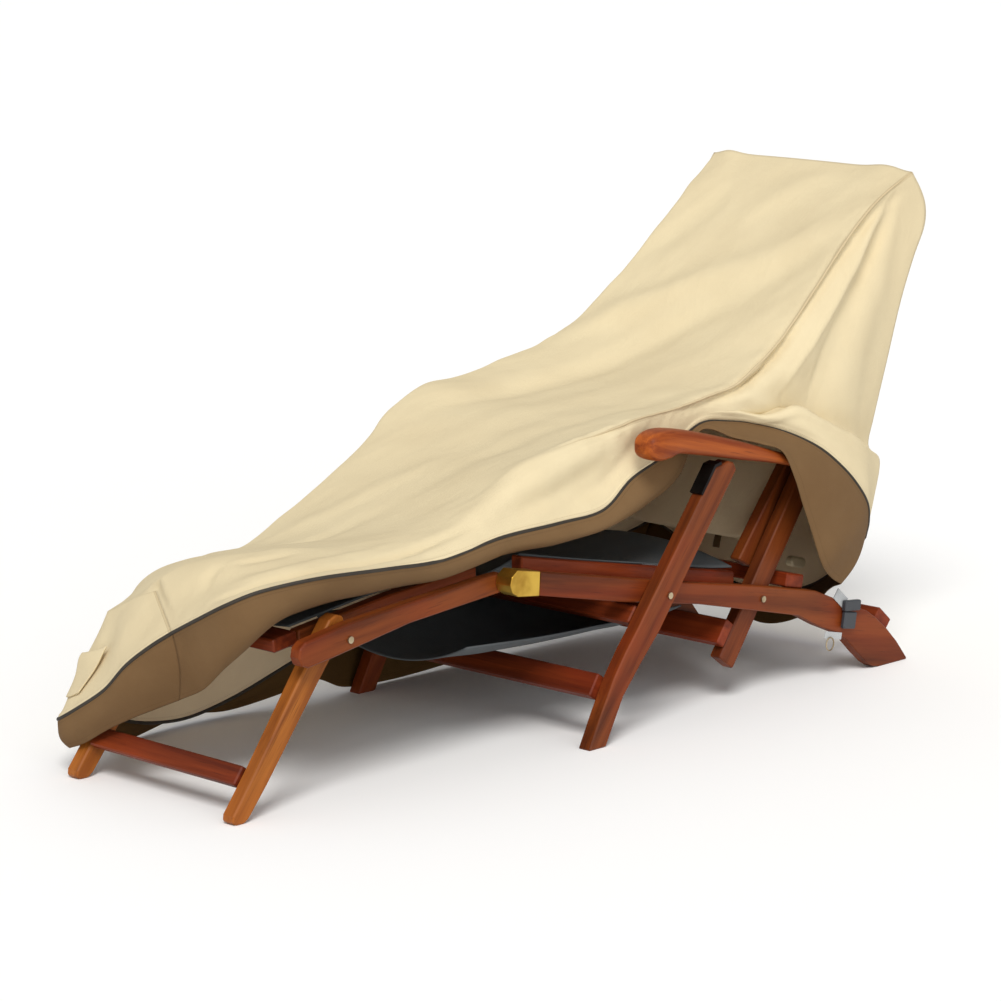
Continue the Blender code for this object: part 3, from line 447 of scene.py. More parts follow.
# the back, from the near corner to the far corner
BACK_PIPING = [(0.775, -0.282, 0.262), (0.822, -0.205, 0.200), (0.838, -0.100, 0.130),
               (0.842, 0.020, 0.104), (0.842, 0.130, 0.118), (0.846, 0.225, 0.170),
               (0.845, 0.310, 0.205)]
BACK_HEM = [(0.692, -0.292, 0.186), (0.744, -0.222, 0.156), (0.786, -0.130, 0.086), (0.796, -0.020, 0.052),
            (0.796, 0.090, 0.084), (0.796, 0.210, 0.132), (0.802, 0.300, 0.124)]
BACK_EDGE_FAR = [  # the corner between the back and the far side: v along the edge, x, y, z
    (0.0, 0.934, 0.236, 0.937), (0.12, 0.972, 0.240, 0.868), (0.35, 0.925, 0.243, 0.700),
    (0.65, 0.890, 0.262, 0.450), (1.0, 0.845, 0.310, 0.205)]
FIRST_BOWED_RIB = 18               # from here on the far side leans back to that corner
FIRST_HEAD_RIB = 19                # from here on the top panel rises to the head's own edge
HEAD_BOW, HEAD_KNOB = 0.004, 0.006               # how far that edge stands up in all, and over a post
HEAD_POSTS = ((0.92, 0.07), (0.13, 0.08))        # each post: share of the way across, width of its knob

NEAR_CURL = ((0, 2, 4, 8, 10, 12, 15, 18, 21),       # ribs, and how far the near skirt curls out there
             (0.010, 0.016, 0.020, 0.020, 0.010, 0.000, 0.004, 0.012, 0.008))

# soft folds on the near side, fanning from the top corner: angle forward of plumb, half width, how far out
FAN_FOLDS = [(53.5, 3.4, -0.007), (47.0, 4.0, 0.011), (37.0, 5.0, -0.011), (24.0, 8.0, 0.006)]
FAN_APEX = (0.930, 0.930)
FAN_REACH = (0.10, 0.42)           # the folds grow over the first distance and fade from the second on
FAN_START, FAN_FADE = 0.3, 0.12    # share of the growing left out at the apex, and the fade's length
FIRST_FAN_RIB = 12.5

print("ribs:", len(NEAR_SEAM))

# %% [markdown]
# Each panel is a function of two numbers: the rib, and how far along the rib.  Every function below
# returns a grid of points, one row a rib.  The near side has guide rows in between, because it first
# drops, then runs out over the arm to a ridge, tucks in behind it, and ends at the piping.

# %% The near side, the top and the far side
def side_rows(where):
    """Guide rows of the near side: shares of the way from seam to ridge, bowed back near the head, tucked
    behind the ridge, then the piping."""
    seam, piping = through(NEAR_SEAM, where), through(NEAR_PIPING, where)
    before = [mix(np.array(NEAR_SEAM[k]), np.array(NEAR_PIPING[k]), 0.72) for k in range(FIRST_CREST_RIB)]
    crest = through(before + [np.array(row) for row in NEAR_CREST], where)
    thrown = np.clip((where - FIRST_CREST_RIB) / 2.0, 0, 1)[:, None]
    bow = through([BACKWARD_BOW.get(k, 0.0) for k in range(len(NEAR_SEAM))], where) * np.array([1.0, 0, 0])
    rows = [seam]
    for share, bowed, tucked in SIDE_PROFILE:
        rows.append(mix(seam, crest, share) + bowed * bow + tucked * thrown * np.array(TUCK))
    rows.append(mix(rows[-1], piping, 0.5) + thrown * np.array([-0.006, -0.008, 0.004]))
    return np.stack(rows + [piping])


def fan_folds(points):
    """How far out the fan pushes a point: the sum of bells in the angle round FAN_APEX, grown and faded
    with the distance from it."""
    forward = FAN_APEX[0] - points[..., 0]
    down = np.maximum(FAN_APEX[1] - points[..., 2], 1e-4)
    reach = np.hypot(forward, down)
    angle = np.degrees(np.arctan2(forward, down))
    outward = sum(depth * np.exp(-((angle - middle) / width) ** 2) for middle, width, depth in FAN_FOLDS)
    near_end, far_end = FAN_REACH
    grown = np.clip(reach / near_end - FAN_START, 0, 1) * np.clip((far_end - reach) / FAN_FADE + 1, 0, 1)
    return outward * grown


def near_side(where, down):
    """Near side: the guide rows splined at shares `down` of the way from seam to piping, plus the fan."""
    guides = side_rows(where)
    flat = through(guides.reshape(len(guides), -1), down * (len(guides) - 1))
    grid = flat.reshape(len(down), len(where), 3).transpose(1, 0, 2)
    held = np.sin(np.pi * down) ** 0.7
    grid[..., 1] -= fan_folds(grid) * held[None, :] * np.clip((where - FIRST_FAN_RIB) / 2.0, 0, 1)[:, None]
    return grid


def head_edge(across):
    """How far the head's edge stands off a straight line: a low bow, with a knob over each post."""
    up = HEAD_BOW * np.sin(np.pi * across) ** 0.6
    for middle, width in HEAD_POSTS:
        up = up + HEAD_KNOB * bell(across - middle, width)
    ends = np.sin(np.pi / 2 * np.clip(np.minimum(across, 1 - across) / 0.09, 0, 1))
    return np.stack([across * 0, across * 0, up * ends], axis=1)


def top(where, across):
    """Top panel: straight ribs from seam to seam, crowned or sagged, its end rounded like the foot end."""
    across = across[None, :, None]
    grid = mix(through(NEAR_SEAM, where)[:, None], through(FAR_SEAM, where)[:, None], across)
    straight = mix(np.array(NEAR_SEAM[0]), np.array(FAR_SEAM[0]), across[0])
    rounded = lay_at(FOOT_TOP, across[0, :, 0]) - straight
    grid += rounded * (np.clip(1 - where / FOOT_ROUNDING, 0, 1) ** 2)[:, None, None]
    crown = through(TOP_CROWN, where) * np.clip(where, 0, 1)[:, None]
    head = (np.clip(where - FIRST_HEAD_RIB, 0, 2) / 2)[:, None] ** 2
    arch = np.sin(np.pi * across[..., 0]) ** np.where(crown > 0, *CROWN_POWERS)
    grid[..., 2] += crown * arch * (1 - head)
    return grid + head[..., None] * head_edge(across[0, :, 0])[None]


def far_edge(down):
    """The corner between the back and the far side, at shares of the way down."""
    table = np.array(BACK_EDGE_FAR)
    return through(table[:, 1:], np.interp(down, table[:, 0], np.arange(len(table))))


def far_side(where, down):
    """Far side: straight from the far seam to its piping, standing out in the middle by FAR_BULGE, its last
    ribs bowed back to the corner of the back."""
    grid = mix(through(FAR_SEAM, where)[:, None], through(FAR_PIPING, where)[:, None], down[None, :, None])
    inside = np.clip(where, 0, 1) * np.clip(len(FAR_SEAM) - 1 - where, 0, 1)
    grid[..., 1] += through(FAR_BULGE, where) * inside[:, None] * np.sin(np.pi * down)[None, :]
    bowed = far_edge(down) - mix(np.array(FAR_SEAM[-1]), np.array(FAR_PIPING[-1]), down[:, None])
    leaning = np.clip((where - FIRST_BOWED_RIB) / (len(FAR_SEAM) - 1 - FIRST_BOWED_RIB), 0, 1)
    return grid + bowed * (leaning ** 2)[:, None, None]


# %% [markdown]
# ## One skin for the three long panels
# The top and both sides are worked out on one grid, so that a fold can run across a seam as it does in
# real cloth.  Its columns crowd towards the seams, where the stitching needs them.

# %% The long skin
LAST_RIB = len(NEAR_SEAM) - 1
RIBS = np.linspace(0, LAST_RIB, 276)
NEAR_COLUMNS, TOP_COLUMNS, FAR_COLUMNS = 70, 74, 34


def crowded(count, ends):
    """0 to 1 in `count` steps, closer together at both ends: a straight line less a share of a sine."""
    t = np.linspace(0, 1, count)
    return t - ends * np.sin(2 * np.pi * t) / (2 * np.pi)


near_down, top_across = crowded(NEAR_COLUMNS, 0.4), crowded(TOP_COLUMNS, 0.7)
far_down = crowded(FAR_COLUMNS, 0.3)
skin = np.concatenate([near_side(RIBS, near_down)[:, ::-1], top(RIBS, top_across)[:, 1:],
                       far_side(RIBS, far_down)[:, 1:]], axis=1)
NEAR_SEAM_COLUMN = NEAR_COLUMNS - 1
FAR_SEAM_COLUMN = NEAR_SEAM_COLUMN + TOP_COLUMNS - 1
rib_of = np.repeat(RIBS[:, None], skin.shape[1], axis=1)
print("skin", skin.shape)

# %% [markdown]
# Over the footrest the near side is one soft roll, so the seam there is rounded away.  Further up the
# seam is a real edge.  The far seam is a shoulder all along.  A few passes that pull every point
# towards the middle of its neighbours, only where a mask lets them, do both.

# %% Rounding the seams
def relaxed(grid, mask, passes):
    """Each pass moves a point by `mask` of the way to the middle of its two neighbours in the rib."""
    grid = grid.copy()
    for _ in range(passes):
        middle = (grid[:, :-2] + grid[:, 2:]) / 2
        grid[:, 1:-1] += mask[:, 1:-1, None] * (middle - grid[:, 1:-1])
    return grid


girth = steps(skin, 1)
from_seam = girth - girth[:, NEAR_SEAM_COLUMN][:, None]
from_far_seam = girth - girth[:, FAR_SEAM_COLUMN][:, None]
loose = step(rib_of, 0.0, 1.2) * (1 - step(rib_of, 6.5, 9.0))
skin = relaxed(skin, loose * bell(from_seam, 0.055), 60)
shoulder = step(rib_of, 0.0, 1.2) * (1 - step(rib_of, 20.0, 21.0))
skin = relaxed(skin, shoulder * bell(from_far_seam, 0.020) * 0.9, 8)
print("seams rounded")

# %% [markdown]
# ## Folds
# Canvas hung over a chair makes long soft folds that start where it is pulled, here the top corner
# and the arm.  Each is a line drawn on the skin: the cloth rises or dips by a bell of the distance to
# that line, and the line fades out at both ends.

# %% Folds along lines on the skin
def on_skin(grid, ribs, columns):
    """Points of a grid at fractional rib numbers and columns: a straight mix of the four corners."""
    r = np.clip(np.interp(ribs, RIBS, np.arange(len(RIBS))), 0, len(RIBS) - 1.001)
    c = np.clip(columns, 0, grid.shape[1] - 1.001)
    i, j = r.astype(int), c.astype(int)
    u, v = (r - i)[:, None], (c - j)[:, None]
    return mix(mix(grid[i, j], grid[i, j + 1], v), mix(grid[i + 1, j], grid[i + 1, j + 1], v), u)


def column_at(panel, share):
    """Column for a share of a side (from seam to piping) or of the top (from near to far seam)."""
    share = np.asarray(share, float)
    if panel == "near":
        return NEAR_SEAM_COLUMN - np.interp(share, near_down, np.arange(NEAR_COLUMNS))
    if panel == "far":
        return FAR_SEAM_COLUMN + np.interp(share, far_down, np.arange(FAR_COLUMNS))
    return NEAR_SEAM_COLUMN + np.interp(share, top_across, np.arange(TOP_COLUMNS))


def fold_height(grid, panel, line, width, height, fine=70):
    """How far a fold lifts each point: height times a bell of the distance to the line, times a fade
    along it."""
    t = np.linspace(0, 1, fine)
    marks = lay_at(line, t)
    route = on_skin(grid, marks[:, 0], column_at(panel, marks[:, 1]))
    flat = grid.reshape(-1, 3)
    best, along = np.full(len(flat), 9.0), np.zeros(len(flat))
    for k in range(fine):
        far = np.linalg.norm(flat - route[k], axis=1)
        closer = far < best
        best[closer], along[closer] = far[closer], t[k]
    fade = np.sin(np.pi * np.clip(along, 0.02, 0.98)) ** 0.6
    return (height * bell(best, width) * fade).reshape(grid.shape[:2])


FOLDS = [  # panel, half width, height (below zero is a dip), line as (rib, share of the panel)
    ("top", 0.034, 0.014, [(14.2, 0.98), (15.0, 0.90), (15.9, 0.79), (17.1, 0.56), (18.0, 0.28),
                           (19.4, 0.06)]),
    ("top", 0.036, -0.012, [(8.9, 0.84), (10.4, 0.75), (12.2, 0.69), (15.1, 0.55), (16.9, 0.29),
                            (18.3, 0.08)]),
    ("top", 0.046, 0.008, [(8.0, 0.62), (9.2, 0.58), (11.3, 0.45), (14.0, 0.33), (15.6, 0.15),
                           (16.4, 0.05)]),
    ("top", 0.030, -0.006, [(6.5, 0.42), (8.0, 0.33), (10.0, 0.22), (12.2, 0.13), (13.6, 0.06)]),
    ("top", 0.030, 0.006, [(18.6, 0.62), (19.4, 0.55), (20.2, 0.42), (20.9, 0.22)]),
    ("top", 0.030, -0.007, [(17.2, 0.97), (18.2, 0.88), (19.2, 0.80), (20.2, 0.74)]),
    ("top", 0.026, 0.006, [(4.6, 0.90), (5.6, 0.76), (6.8, 0.60), (8.0, 0.50)]),
    ("top", 0.022, -0.007, [(2.6, 0.80), (3.6, 0.62), (4.8, 0.50), (6.0, 0.42)]),
    ("near", 0.030, 0.013, [(9.6, 0.16), (9.1, 0.27), (8.0, 0.33), (6.9, 0.43), (6.0, 0.66), (5.4, 0.84)]),
    ("near", 0.022, -0.010, [(9.4, 0.50), (8.4, 0.58), (7.4, 0.70), (6.6, 0.88)]),
    ("near", 0.018, -0.009, [(10.6, 0.42), (9.8, 0.60), (8.8, 0.78), (7.8, 0.93)]),
    ("near", 0.011, -0.013, [(6.4, 0.66), (5.6, 0.66), (4.6, 0.72), (3.6, 0.79), (2.6, 0.85), (1.6, 0.88)]),
    ("near", 0.014, 0.005, [(5.0, 0.42), (4.0, 0.52), (3.0, 0.60), (2.2, 0.62)]),
    ("near", 0.010, -0.005, [(3.4, 0.22), (2.8, 0.30), (2.2, 0.34)]),
    ("near", 0.012, -0.005, [(2.0, 0.30), (1.6, 0.44), (1.4, 0.60)]),
    ("near", 0.020, 0.008, [(12.4, 0.30), (13.2, 0.42), (14.2, 0.60), (15.2, 0.78)]),
    ("near", 0.013, -0.018, [(11.2, 0.11), (12.4, 0.10), (13.6, 0.09), (14.8, 0.075), (15.8, 0.06)]),
    ("near", 0.008, 0.007, [(20.0, 0.05), (19.4, 0.08), (18.7, 0.19), (17.6, 0.28), (16.1, 0.38),
                            (14.8, 0.55)]),
    ("near", 0.009, -0.006, [(20.3, 0.07), (19.4, 0.27), (18.3, 0.37), (17.2, 0.46), (16.4, 0.60)]),
    ("near", 0.011, -0.008, [(15.0, 0.06), (16.5, 0.055), (18.0, 0.05), (19.5, 0.05), (20.6, 0.05)]),
    ("near", 0.008, 0.010, [(13.8, 0.92), (14.6, 0.85), (15.0, 0.83), (16.0, 0.845), (17.6, 0.84),
                            (18.8, 0.84), (20.0, 0.85)]),
    ("far", 0.040, 0.011, [(10.2, 0.05), (9.8, 0.40), (9.0, 0.90)]),
    ("far", 0.034, -0.008, [(11.5, 0.06), (11.4, 0.45), (11.0, 0.90)]),
    ("far", 0.040, 0.009, [(12.7, 0.06), (13.0, 0.45), (13.2, 0.92)]),
    ("far", 0.045, -0.008, [(14.8, 0.08), (14.7, 0.50), (14.9, 0.92)]),
    ("far", 0.040, 0.008, [(17.2, 0.10), (16.6, 0.50), (16.4, 0.92)]),
    ("far", 0.030, 0.006, [(19.8, 0.16), (18.8, 0.45), (18.2, 0.85)]),
    ("far", 0.030, -0.006, [(7.6, 0.10), (7.2, 0.50), (6.6, 0.90)]),
    ("far", 0.036, 0.008, [(6.0, 0.10), (5.2, 0.50), (4.4, 0.90)]),
    ("far", 0.026, -0.005, [(4.0, 0.16), (3.2, 0.50), (2.6, 0.86)]),
]
END_ROLL, END_ROLL_WIDTH = 0.018, 0.062      # the cloth swells round the end of the footrest, by the seam
lift = END_ROLL * step(rib_of, 0.0, 0.40) * (1 - step(rib_of, 1.6, 4.6))
lift = lift * bell(from_seam + 0.01, END_ROLL_WIDTH)
for panel, width, height, line in FOLDS:
    lift += fold_height(skin, panel, line, width, height)
sewn = step(rib_of, 7.0, 9.5)
lift *= step(rib_of, 0.0, 0.35) * (1 - step(rib_of, 20.3, 21.0))
lift *= 1 - sewn * (1 - step(np.abs(from_seam), 0.0, 0.012))
skin = skin + normals_of(skin) * lift[..., None]
print("folds: %d, lift %.1f to %.1f mm" % (len(FOLDS), lift.min() * 1000, lift.max() * 1000))

# %% [markdown]
# A sewn seam pulls the cloth in a little, and puckers it, and no hung cloth is flat between its folds.
# Sums of a few waves in seeded directions, kept off the edges, give both.

# %% Puckers and small waves
def waves(points, seed, count, lengths):
    """Sum of sines in seeded directions with wavelengths between two lengths, scaled to about -1 to 1."""
    draw = np.random.default_rng(seed)
    ways = draw.normal(size=(count, 3))
    ways /= np.linalg.norm(ways, axis=1, keepdims=True)
    turns = 2 * np.pi / draw.uniform(*lengths, count)
    phase = draw.uniform(0, 2 * np.pi, count)
    return np.sin(points @ (ways * turns[:, None]).T + phase).sum(axis=-1) / math.sqrt(count)


PUCKER, GROOVE, RIPPLE, CRINKLE = 0.0006, 0.001, 0.0012, 0.00035      # how deep each one is
PUCKER_LENGTH = 0.034
run = steps(skin, 0)
run_along = run[:, NEAR_SEAM_COLUMN][:, None]
uneven = 2.0 * np.sin(run_along * 17)
pucker = np.sin(run_along * 2 * np.pi / PUCKER_LENGTH + uneven)
pucker = pucker * bell(np.abs(from_seam) - 0.014, 0.012)
groove = bell(from_far_seam, 0.004) * -GROOVE
edge_room = (step(girth, 0.0, 0.02) * step(girth[:, -1:] - girth, 0.0, 0.02)
             * step(run, 0.0, 0.03) * step(run[-1:] - run, 0.0, 0.03))
ripple = waves(skin, 11, 9, (0.09, 0.22)) * RIPPLE + waves(skin, 12, 9, (0.03, 0.07)) * CRINKLE
skin = skin + normals_of(skin) * (groove + pucker * PUCKER * sewn + ripple * edge_room)[..., None]
print("small waves on")

# %% [markdown]
# The long skin becomes a mesh here.  Its inner side takes the backing's colour, because the near side
# is folded over and shows it.  Close to the piping the cloth stands up in a small roll, where it is
# turned in and sewn, and that roll catches the light.

# %% The long skin as a piece
def rolled(grid, edge, height=0.0016):
    """Lifts a grid in a narrow bell that runs 7 mm inside its piping."""
    return grid + normals_of(grid) * (height * bell(edge - 0.007, 0.004))[..., None]


girth = steps(skin, 1)
skin_edge = np.minimum(girth, girth[:, -1:] - girth)
skin = rolled(skin, skin_edge)
seam_distance = np.minimum(np.abs(from_seam) + 0.05 * (1 - sewn), np.abs(from_far_seam))
cover = cloth("cover_cloth", skin, [CREAM, CREAM_BACK], seam=seam_distance, edge=skin_edge)
print("long skin %.2f square metres, run %.2f m" % (area_of(skin), steps(skin, 0)[-1].max()))

# %% [markdown]
# ## Foot end and back
# The two end panels are ruled between their top edge and the piping.  The back panel follows the
# near side's last rib down one edge and the far side's down the other, so the corners are closed.

# %% End panels
def foot_at(across, down):
    """Foot end: straight from its top edge to the piping, bulged out by a product of half sines."""
    grid = mix(lay_at(FOOT_TOP, across), lay_at(FOOT_PIPING, across), down[..., None])
    bulge = np.sin(np.pi * across) * np.sin(np.pi * down)
    return grid + bulge[..., None] * np.array([-0.004, -0.001, 0.001])


def back(across, down):
    """Back: rows between the two side edges, drawn to the piping below, dished a little in the middle."""
    near = near_side(np.array([float(LAST_RIB)]), down)[0]
    far = far_edge(down)
    grid = mix(near[None], far[None], across[:, None, None])
    drift = lay_at(BACK_PIPING, across) - grid[:, -1]
    grid = grid + drift[:, None, :] * (down ** 2)[None, :, None]
    sway = np.sin(np.pi * across)[:, None]
    grid[..., 0] -= 0.008 * sway * np.sin(np.pi * down)[None, :]
    drape = np.sin(2 * np.pi * (2.3 * across[:, None] + 0.35 * down[None, :]))
    grid[..., 0] += 0.005 * sway * np.sin(np.pi * down)[None, :] * drape
    grid += head_edge(across)[:, None] * ((1 - down) ** 6)[None, :, None]
    return grid


def wavy(grid, seed, size, lengths, room=0.03):
    """A grid with small seeded waves that fade out along all four edges."""
    run, girth = steps(grid, 0), steps(grid, 1)
    free = (step(run, 0, room) * step(run[-1:] - run, 0, room)
            * step(girth, 0, room) * step(girth[:, -1:] - girth, 0, room))
    return grid + normals_of(grid) * (waves(grid, seed, 9, lengths) * size * free)[..., None]


def end_panel(name, grid):
    """An end panel: a roll above its piping, and thread lines by the piping and by both side seams."""
    low = steps(grid, 1)
    low = low[:, -1:] - low
    grid = rolled(grid, low)
    run = steps(grid, 0)
    print("%s %.3f square metres" % (name, area_of(grid)))
    return cloth(name, grid, [CREAM, CREAM_BACK], edge=low, seam=np.minimum(run, run[-1:] - run))


foot_shares = np.meshgrid(np.linspace(0, 1, 96), crowded(40, 0.3), indexing="ij")
foot_panel = end_panel("foot_panel_cloth", wavy(foot_at(*foot_shares), 21, 0.0015, (0.06, 0.15)))
back_panel = end_panel("back_panel_cloth", wavy(
    back(np.linspace(1, 0, 96), crowded(110, 0.2)), 22, 0.0035, (0.12, 0.30)))

# %% [markdown]
# ## Skirts
# The skirt hangs from the piping, or curls under where the cover is thrown up.  Its stiff hem keeps
# it fairly smooth, so only slow waves run along it, and they grow from the piping to the hem.

# %% Four skirts
def skirt(piping, hem, belly, fine=24):
    """Skirt: from piping to hem, with `belly` as how far its middle stands off the straight line."""
    down = crowded(fine, 0.3)
    grid = mix(piping[:, None], hem[:, None], down[None, :, None])
    return grid + np.sin(np.pi * down)[None, :, None] * np.asarray(belly).reshape(-1, 1, 3)


def near_belly(where):
    """How far the near skirt curls out at each rib: most over the footrest, least under the arm."""
    return np.interp(where, *NEAR_CURL)[:, None] * np.array([0.0, -1.0, -0.35])


def foot_belly(across):
    """How far the foot skirt hangs out: like the near skirt at their corner, then towards the foot."""
    near, own = near_belly(np.zeros(1)), np.array([-0.010, 0.0, -0.004])
    return mix(near, own, np.clip(across / 0.25, 0, 1)[:, None])


def blended(where, length, start, middle, end):
    """The belly of a skirt that meets its neighbours at both corners with the same belly as they have."""
    first = np.clip(1 - where / length, 0, 1)[:, None]
    last = np.clip(1 - (where.max() - where) / length, 0, 1)[:, None]
    return first * start + last * end + (1 - first - last) * np.array(middle)


def skirt_piece(name, grid, seed, size):
    """A skirt with waves, a thread line by the piping and two by the hem."""
    grid = wavy(grid, seed, size, (0.07, 0.22), 0.02)
    girth = steps(grid, 1)
    piece = cloth(name, grid, [BARK, BARK_BACK], edge=girth, hem=girth[:, -1:] - girth)
    print("%s %.3f square metres" % (name, area_of(grid)))
    return piece


across = np.linspace(0, 1, 90)
FAR_CORNER = np.array([-0.004, 0.003, 0.0])     # the belly that the far and back skirts share there
BACKWARDS = slice(None, None, -1)               # rows that run this way turn a skirt's face outwards
skirts = {
    "near": skirt_piece("near_skirt_cloth", skirt(
        through(NEAR_PIPING, RIBS), through(NEAR_HEM, RIBS), near_belly(RIBS))[BACKWARDS], 31, 0.0016),
    "far": skirt_piece("far_skirt_cloth", skirt(
        through(FAR_PIPING, RIBS), through(FAR_HEM, RIBS),
        blended(RIBS, 1.5, foot_belly(np.ones(1)), [0.0, 0.006, 0.0], FAR_CORNER)), 32, 0.002),
    "foot": skirt_piece("foot_skirt_cloth", skirt(
        lay_at(FOOT_PIPING, across), lay_at(FOOT_HEM, across), foot_belly(across)), 33, 0.0012),
    "back": skirt_piece("back_skirt_cloth", skirt(
        lay_at(BACK_PIPING, across), lay_at(BACK_HEM, across),
        blended(across, 0.2, near_belly(np.full(1, LAST_RIB)), [-0.012, 0.0, 0.0], FAR_CORNER)
        )[BACKWARDS], 34, 0.0016),
}

# %% [markdown]
# ## Piping
# Piping is a cord sewn into a folded strip.  It is one loop round the whole cover, so it is one tube: a
# ring of points carried along the seam, turned square to the path at every step.

# %% A tube along a path
def tube(name, path, radii, finish, sides=10, closed=False):
    """A round tube: at each point of the path a circle in the plane square to the path's direction.  An
    open tube's ends are drawn in to a point."""
    path = np.asarray(path, float)
    radii = np.broadcast_to(np.asarray(radii, float), (len(path),)).copy()
    if closed:
        forward = np.roll(path, -1, axis=0) - np.roll(path, 1, axis=0)
    else:
        forward = np.gradient(path, axis=0)
    forward /= np.linalg.norm(forward, axis=1, keepdims=True)
    upright = np.where(np.abs(forward[:, 2:]) > 0.9, np.array([[1.0, 0, 0]]), np.array([[0, 0, 1.0]]))
    side = np.cross(forward, upright)
    side /= np.linalg.norm(side, axis=1, keepdims=True)
    over = np.cross(side, forward)
    turn = np.linspace(0, 2 * np.pi, sides, endpoint=False)
    ring = np.cos(turn)[None, :, None] * side[:, None] + np.sin(turn)[None, :, None] * over[:, None]
    grid = path[:, None] + ring * radii[:, None, None]
    if closed:
        grid = np.concatenate([grid, grid[:1]])
    else:
        tips = [np.repeat(path[end, None], sides, axis=1) for end in (slice(0, 1), slice(-1, None))]
        grid = np.concatenate([tips[0], grid, tips[1]])
    run = np.repeat(steps(grid, 0).mean(axis=1)[:, None], sides, axis=1)
    piece = grid_piece(name, grid, [finish], wrap=True, run=run)
    weld(piece)
    return piece


def weld(piece, distance=1e-6):
    """Merges doubled points, as at a tube's ends and joint, and turns the faces outwards."""
    shape = bmesh.new()
    shape.from_mesh(piece.data)
    bmesh.ops.remove_doubles(shape, verts=shape.verts, dist=distance)
    bmesh.ops.recalc_face_normals(shape, faces=shape.faces)
    shape.to_mesh(piece.data)
    shape.free()


CORD_RADIUS, CORD_LAY = 0.0031, 0.003      # the lay is the run of one turn of the cord's strands
CORD = Finish("piping cord", Roughness=0.62, Specular_IOR_Level=0.35)
cord_turns = (CORD.measure("run") * (2 * math.pi / CORD_LAY)).sine()
CORD.put(Base_Color=CORD.mixed(CORD.noise(CORD.place(), 60.0), colour(38, 34, 30), colour(62, 54, 44)),
         Normal=CORD.bump(cord_turns, 0.0002, 0.5))
loop = np.vstack([lay_at(FOOT_PIPING, np.linspace(1, 0, 90))[:-1], through(NEAR_PIPING, RIBS)[:-1],
                  lay_at(BACK_PIPING, np.linspace(0, 1, 110))[:-1], through(FAR_PIPING, RIBS[::-1])[:-1]])
piping = tube("piping_cord", loop, CORD_RADIUS, CORD, sides=8, closed=True)
print("piping loop %.2f m" % np.linalg.norm(np.diff(loop, axis=0), axis=1).sum())

# %% [markdown]
# From the arm to the head, the top panel's edge is folded over the side panel and sewn down, which
# leaves a thin round welt along the seam.  It runs out into the cloth above the footrest.

# %% Seam welt
seam_line = skin[:, NEAR_SEAM_COLUMN] + normals_of(skin)[:, NEAR_SEAM_COLUMN] * 0.0006
WELT_FROM, WELT_TO = 7.2, 20.9          # ribs
WELT_RADIUS, WELT_LEAST = 0.0023, 0.0002
shown = (RIBS > WELT_FROM) & (RIBS < WELT_TO)
welt_radius = WELT_RADIUS * step(RIBS[shown], WELT_FROM, 10.0) * (1 - step(RIBS[shown], 20.4, WELT_TO))
welt = tube("seam_welt", seam_line[shown], np.maximum(welt_radius, WELT_LEAST), CREAM, sides=8)

# %% [markdown]
# ## Pull strip
# At the foot end a folded strip of the same cloth is sewn on, to drag the cover by.  It lies close to the
# panel at its bottom and lifts off it a little near its top.

# %% Pull strip
def strip_grid(fine=(26, 30), lift=0.013, rest=0.0030):
    """A four-cornered patch of the foot end, pushed off it along its normals: most just under the top."""
    u, v = np.meshgrid(*(np.linspace(0, 1, count) for count in fine), indexing="ij")
    c = np.array(PULL_STRIP)
    spot = mix(mix(c[0], c[1], u[..., None]), mix(c[2], c[3], u[..., None]), v[..., None])
    grid = foot_at(spot[..., 0], spot[..., 1])
    return grid + normals_of(grid) * (rest + lift * bell(v - 0.06, 0.30) * (0.35 + 0.65 * u))[..., None]


strip = cloth("pull_strip_cloth", strip_grid(), [CREAM, CREAM_BACK], 0.0024)
print("pull strip %.4f square metres" % area_of(strip_grid()))

# %% [markdown]
# ## Hardwood
# The chair is oiled tropical hardwood, red-brown, with the grain along every bar.  A stretched noise is
# grain: long in one direction and tight in the other two.  Each bar leans at its own angle, so each
# gets its own finish, turned so that the grain runs along it.

# %% Wood finish
def hardwood(name, lean, light, dark, red, across=False):
    """Wood whose grain climbs `lean` degrees towards the head in the chair's side view, or runs across the
    chair.  Three noises make it: streaks, fine pores and slow clouds of a redder colour."""
    finish = Finish(name, Specular_IOR_Level=0.16, Coat_Roughness=0.3)
    turned = (0, 0, 90) if across else (0, lean, 0)
    grain = finish.noise(finish.place((1.6, 34.0, 34.0), turned), 1.0, 6.0, 0.62, 0.35)
    pores = finish.noise(finish.place((14.0, 420.0, 420.0), turned), 1.0, 2.0, 0.6)
    cloudy = finish.noise(finish.place((2.0, 6.0, 6.0), turned), 1.0, 3.0, 0.5, 1.2)
    stain = finish.noise(finish.place(), 9.0, 3.0, 0.6)
    tone = finish.mixed(grain.smooth(0.30, 0.70), light, dark)
    tone = finish.mixed(cloudy.smooth(0.40, 0.75) * 0.5, tone, red)
    tone = finish.mixed(pores.smooth(0.60, 0.74) * 0.45, tone, colour(40, 14, 8))
    finish.put(Base_Color=tone, Coat_Weight=stain * 0.05, Roughness=grain * 0.20 + stain * 0.14 + 0.30,
               Normal=finish.bump(pores * -0.5 + grain * 0.4, 0.0006, 0.35))
    return finish


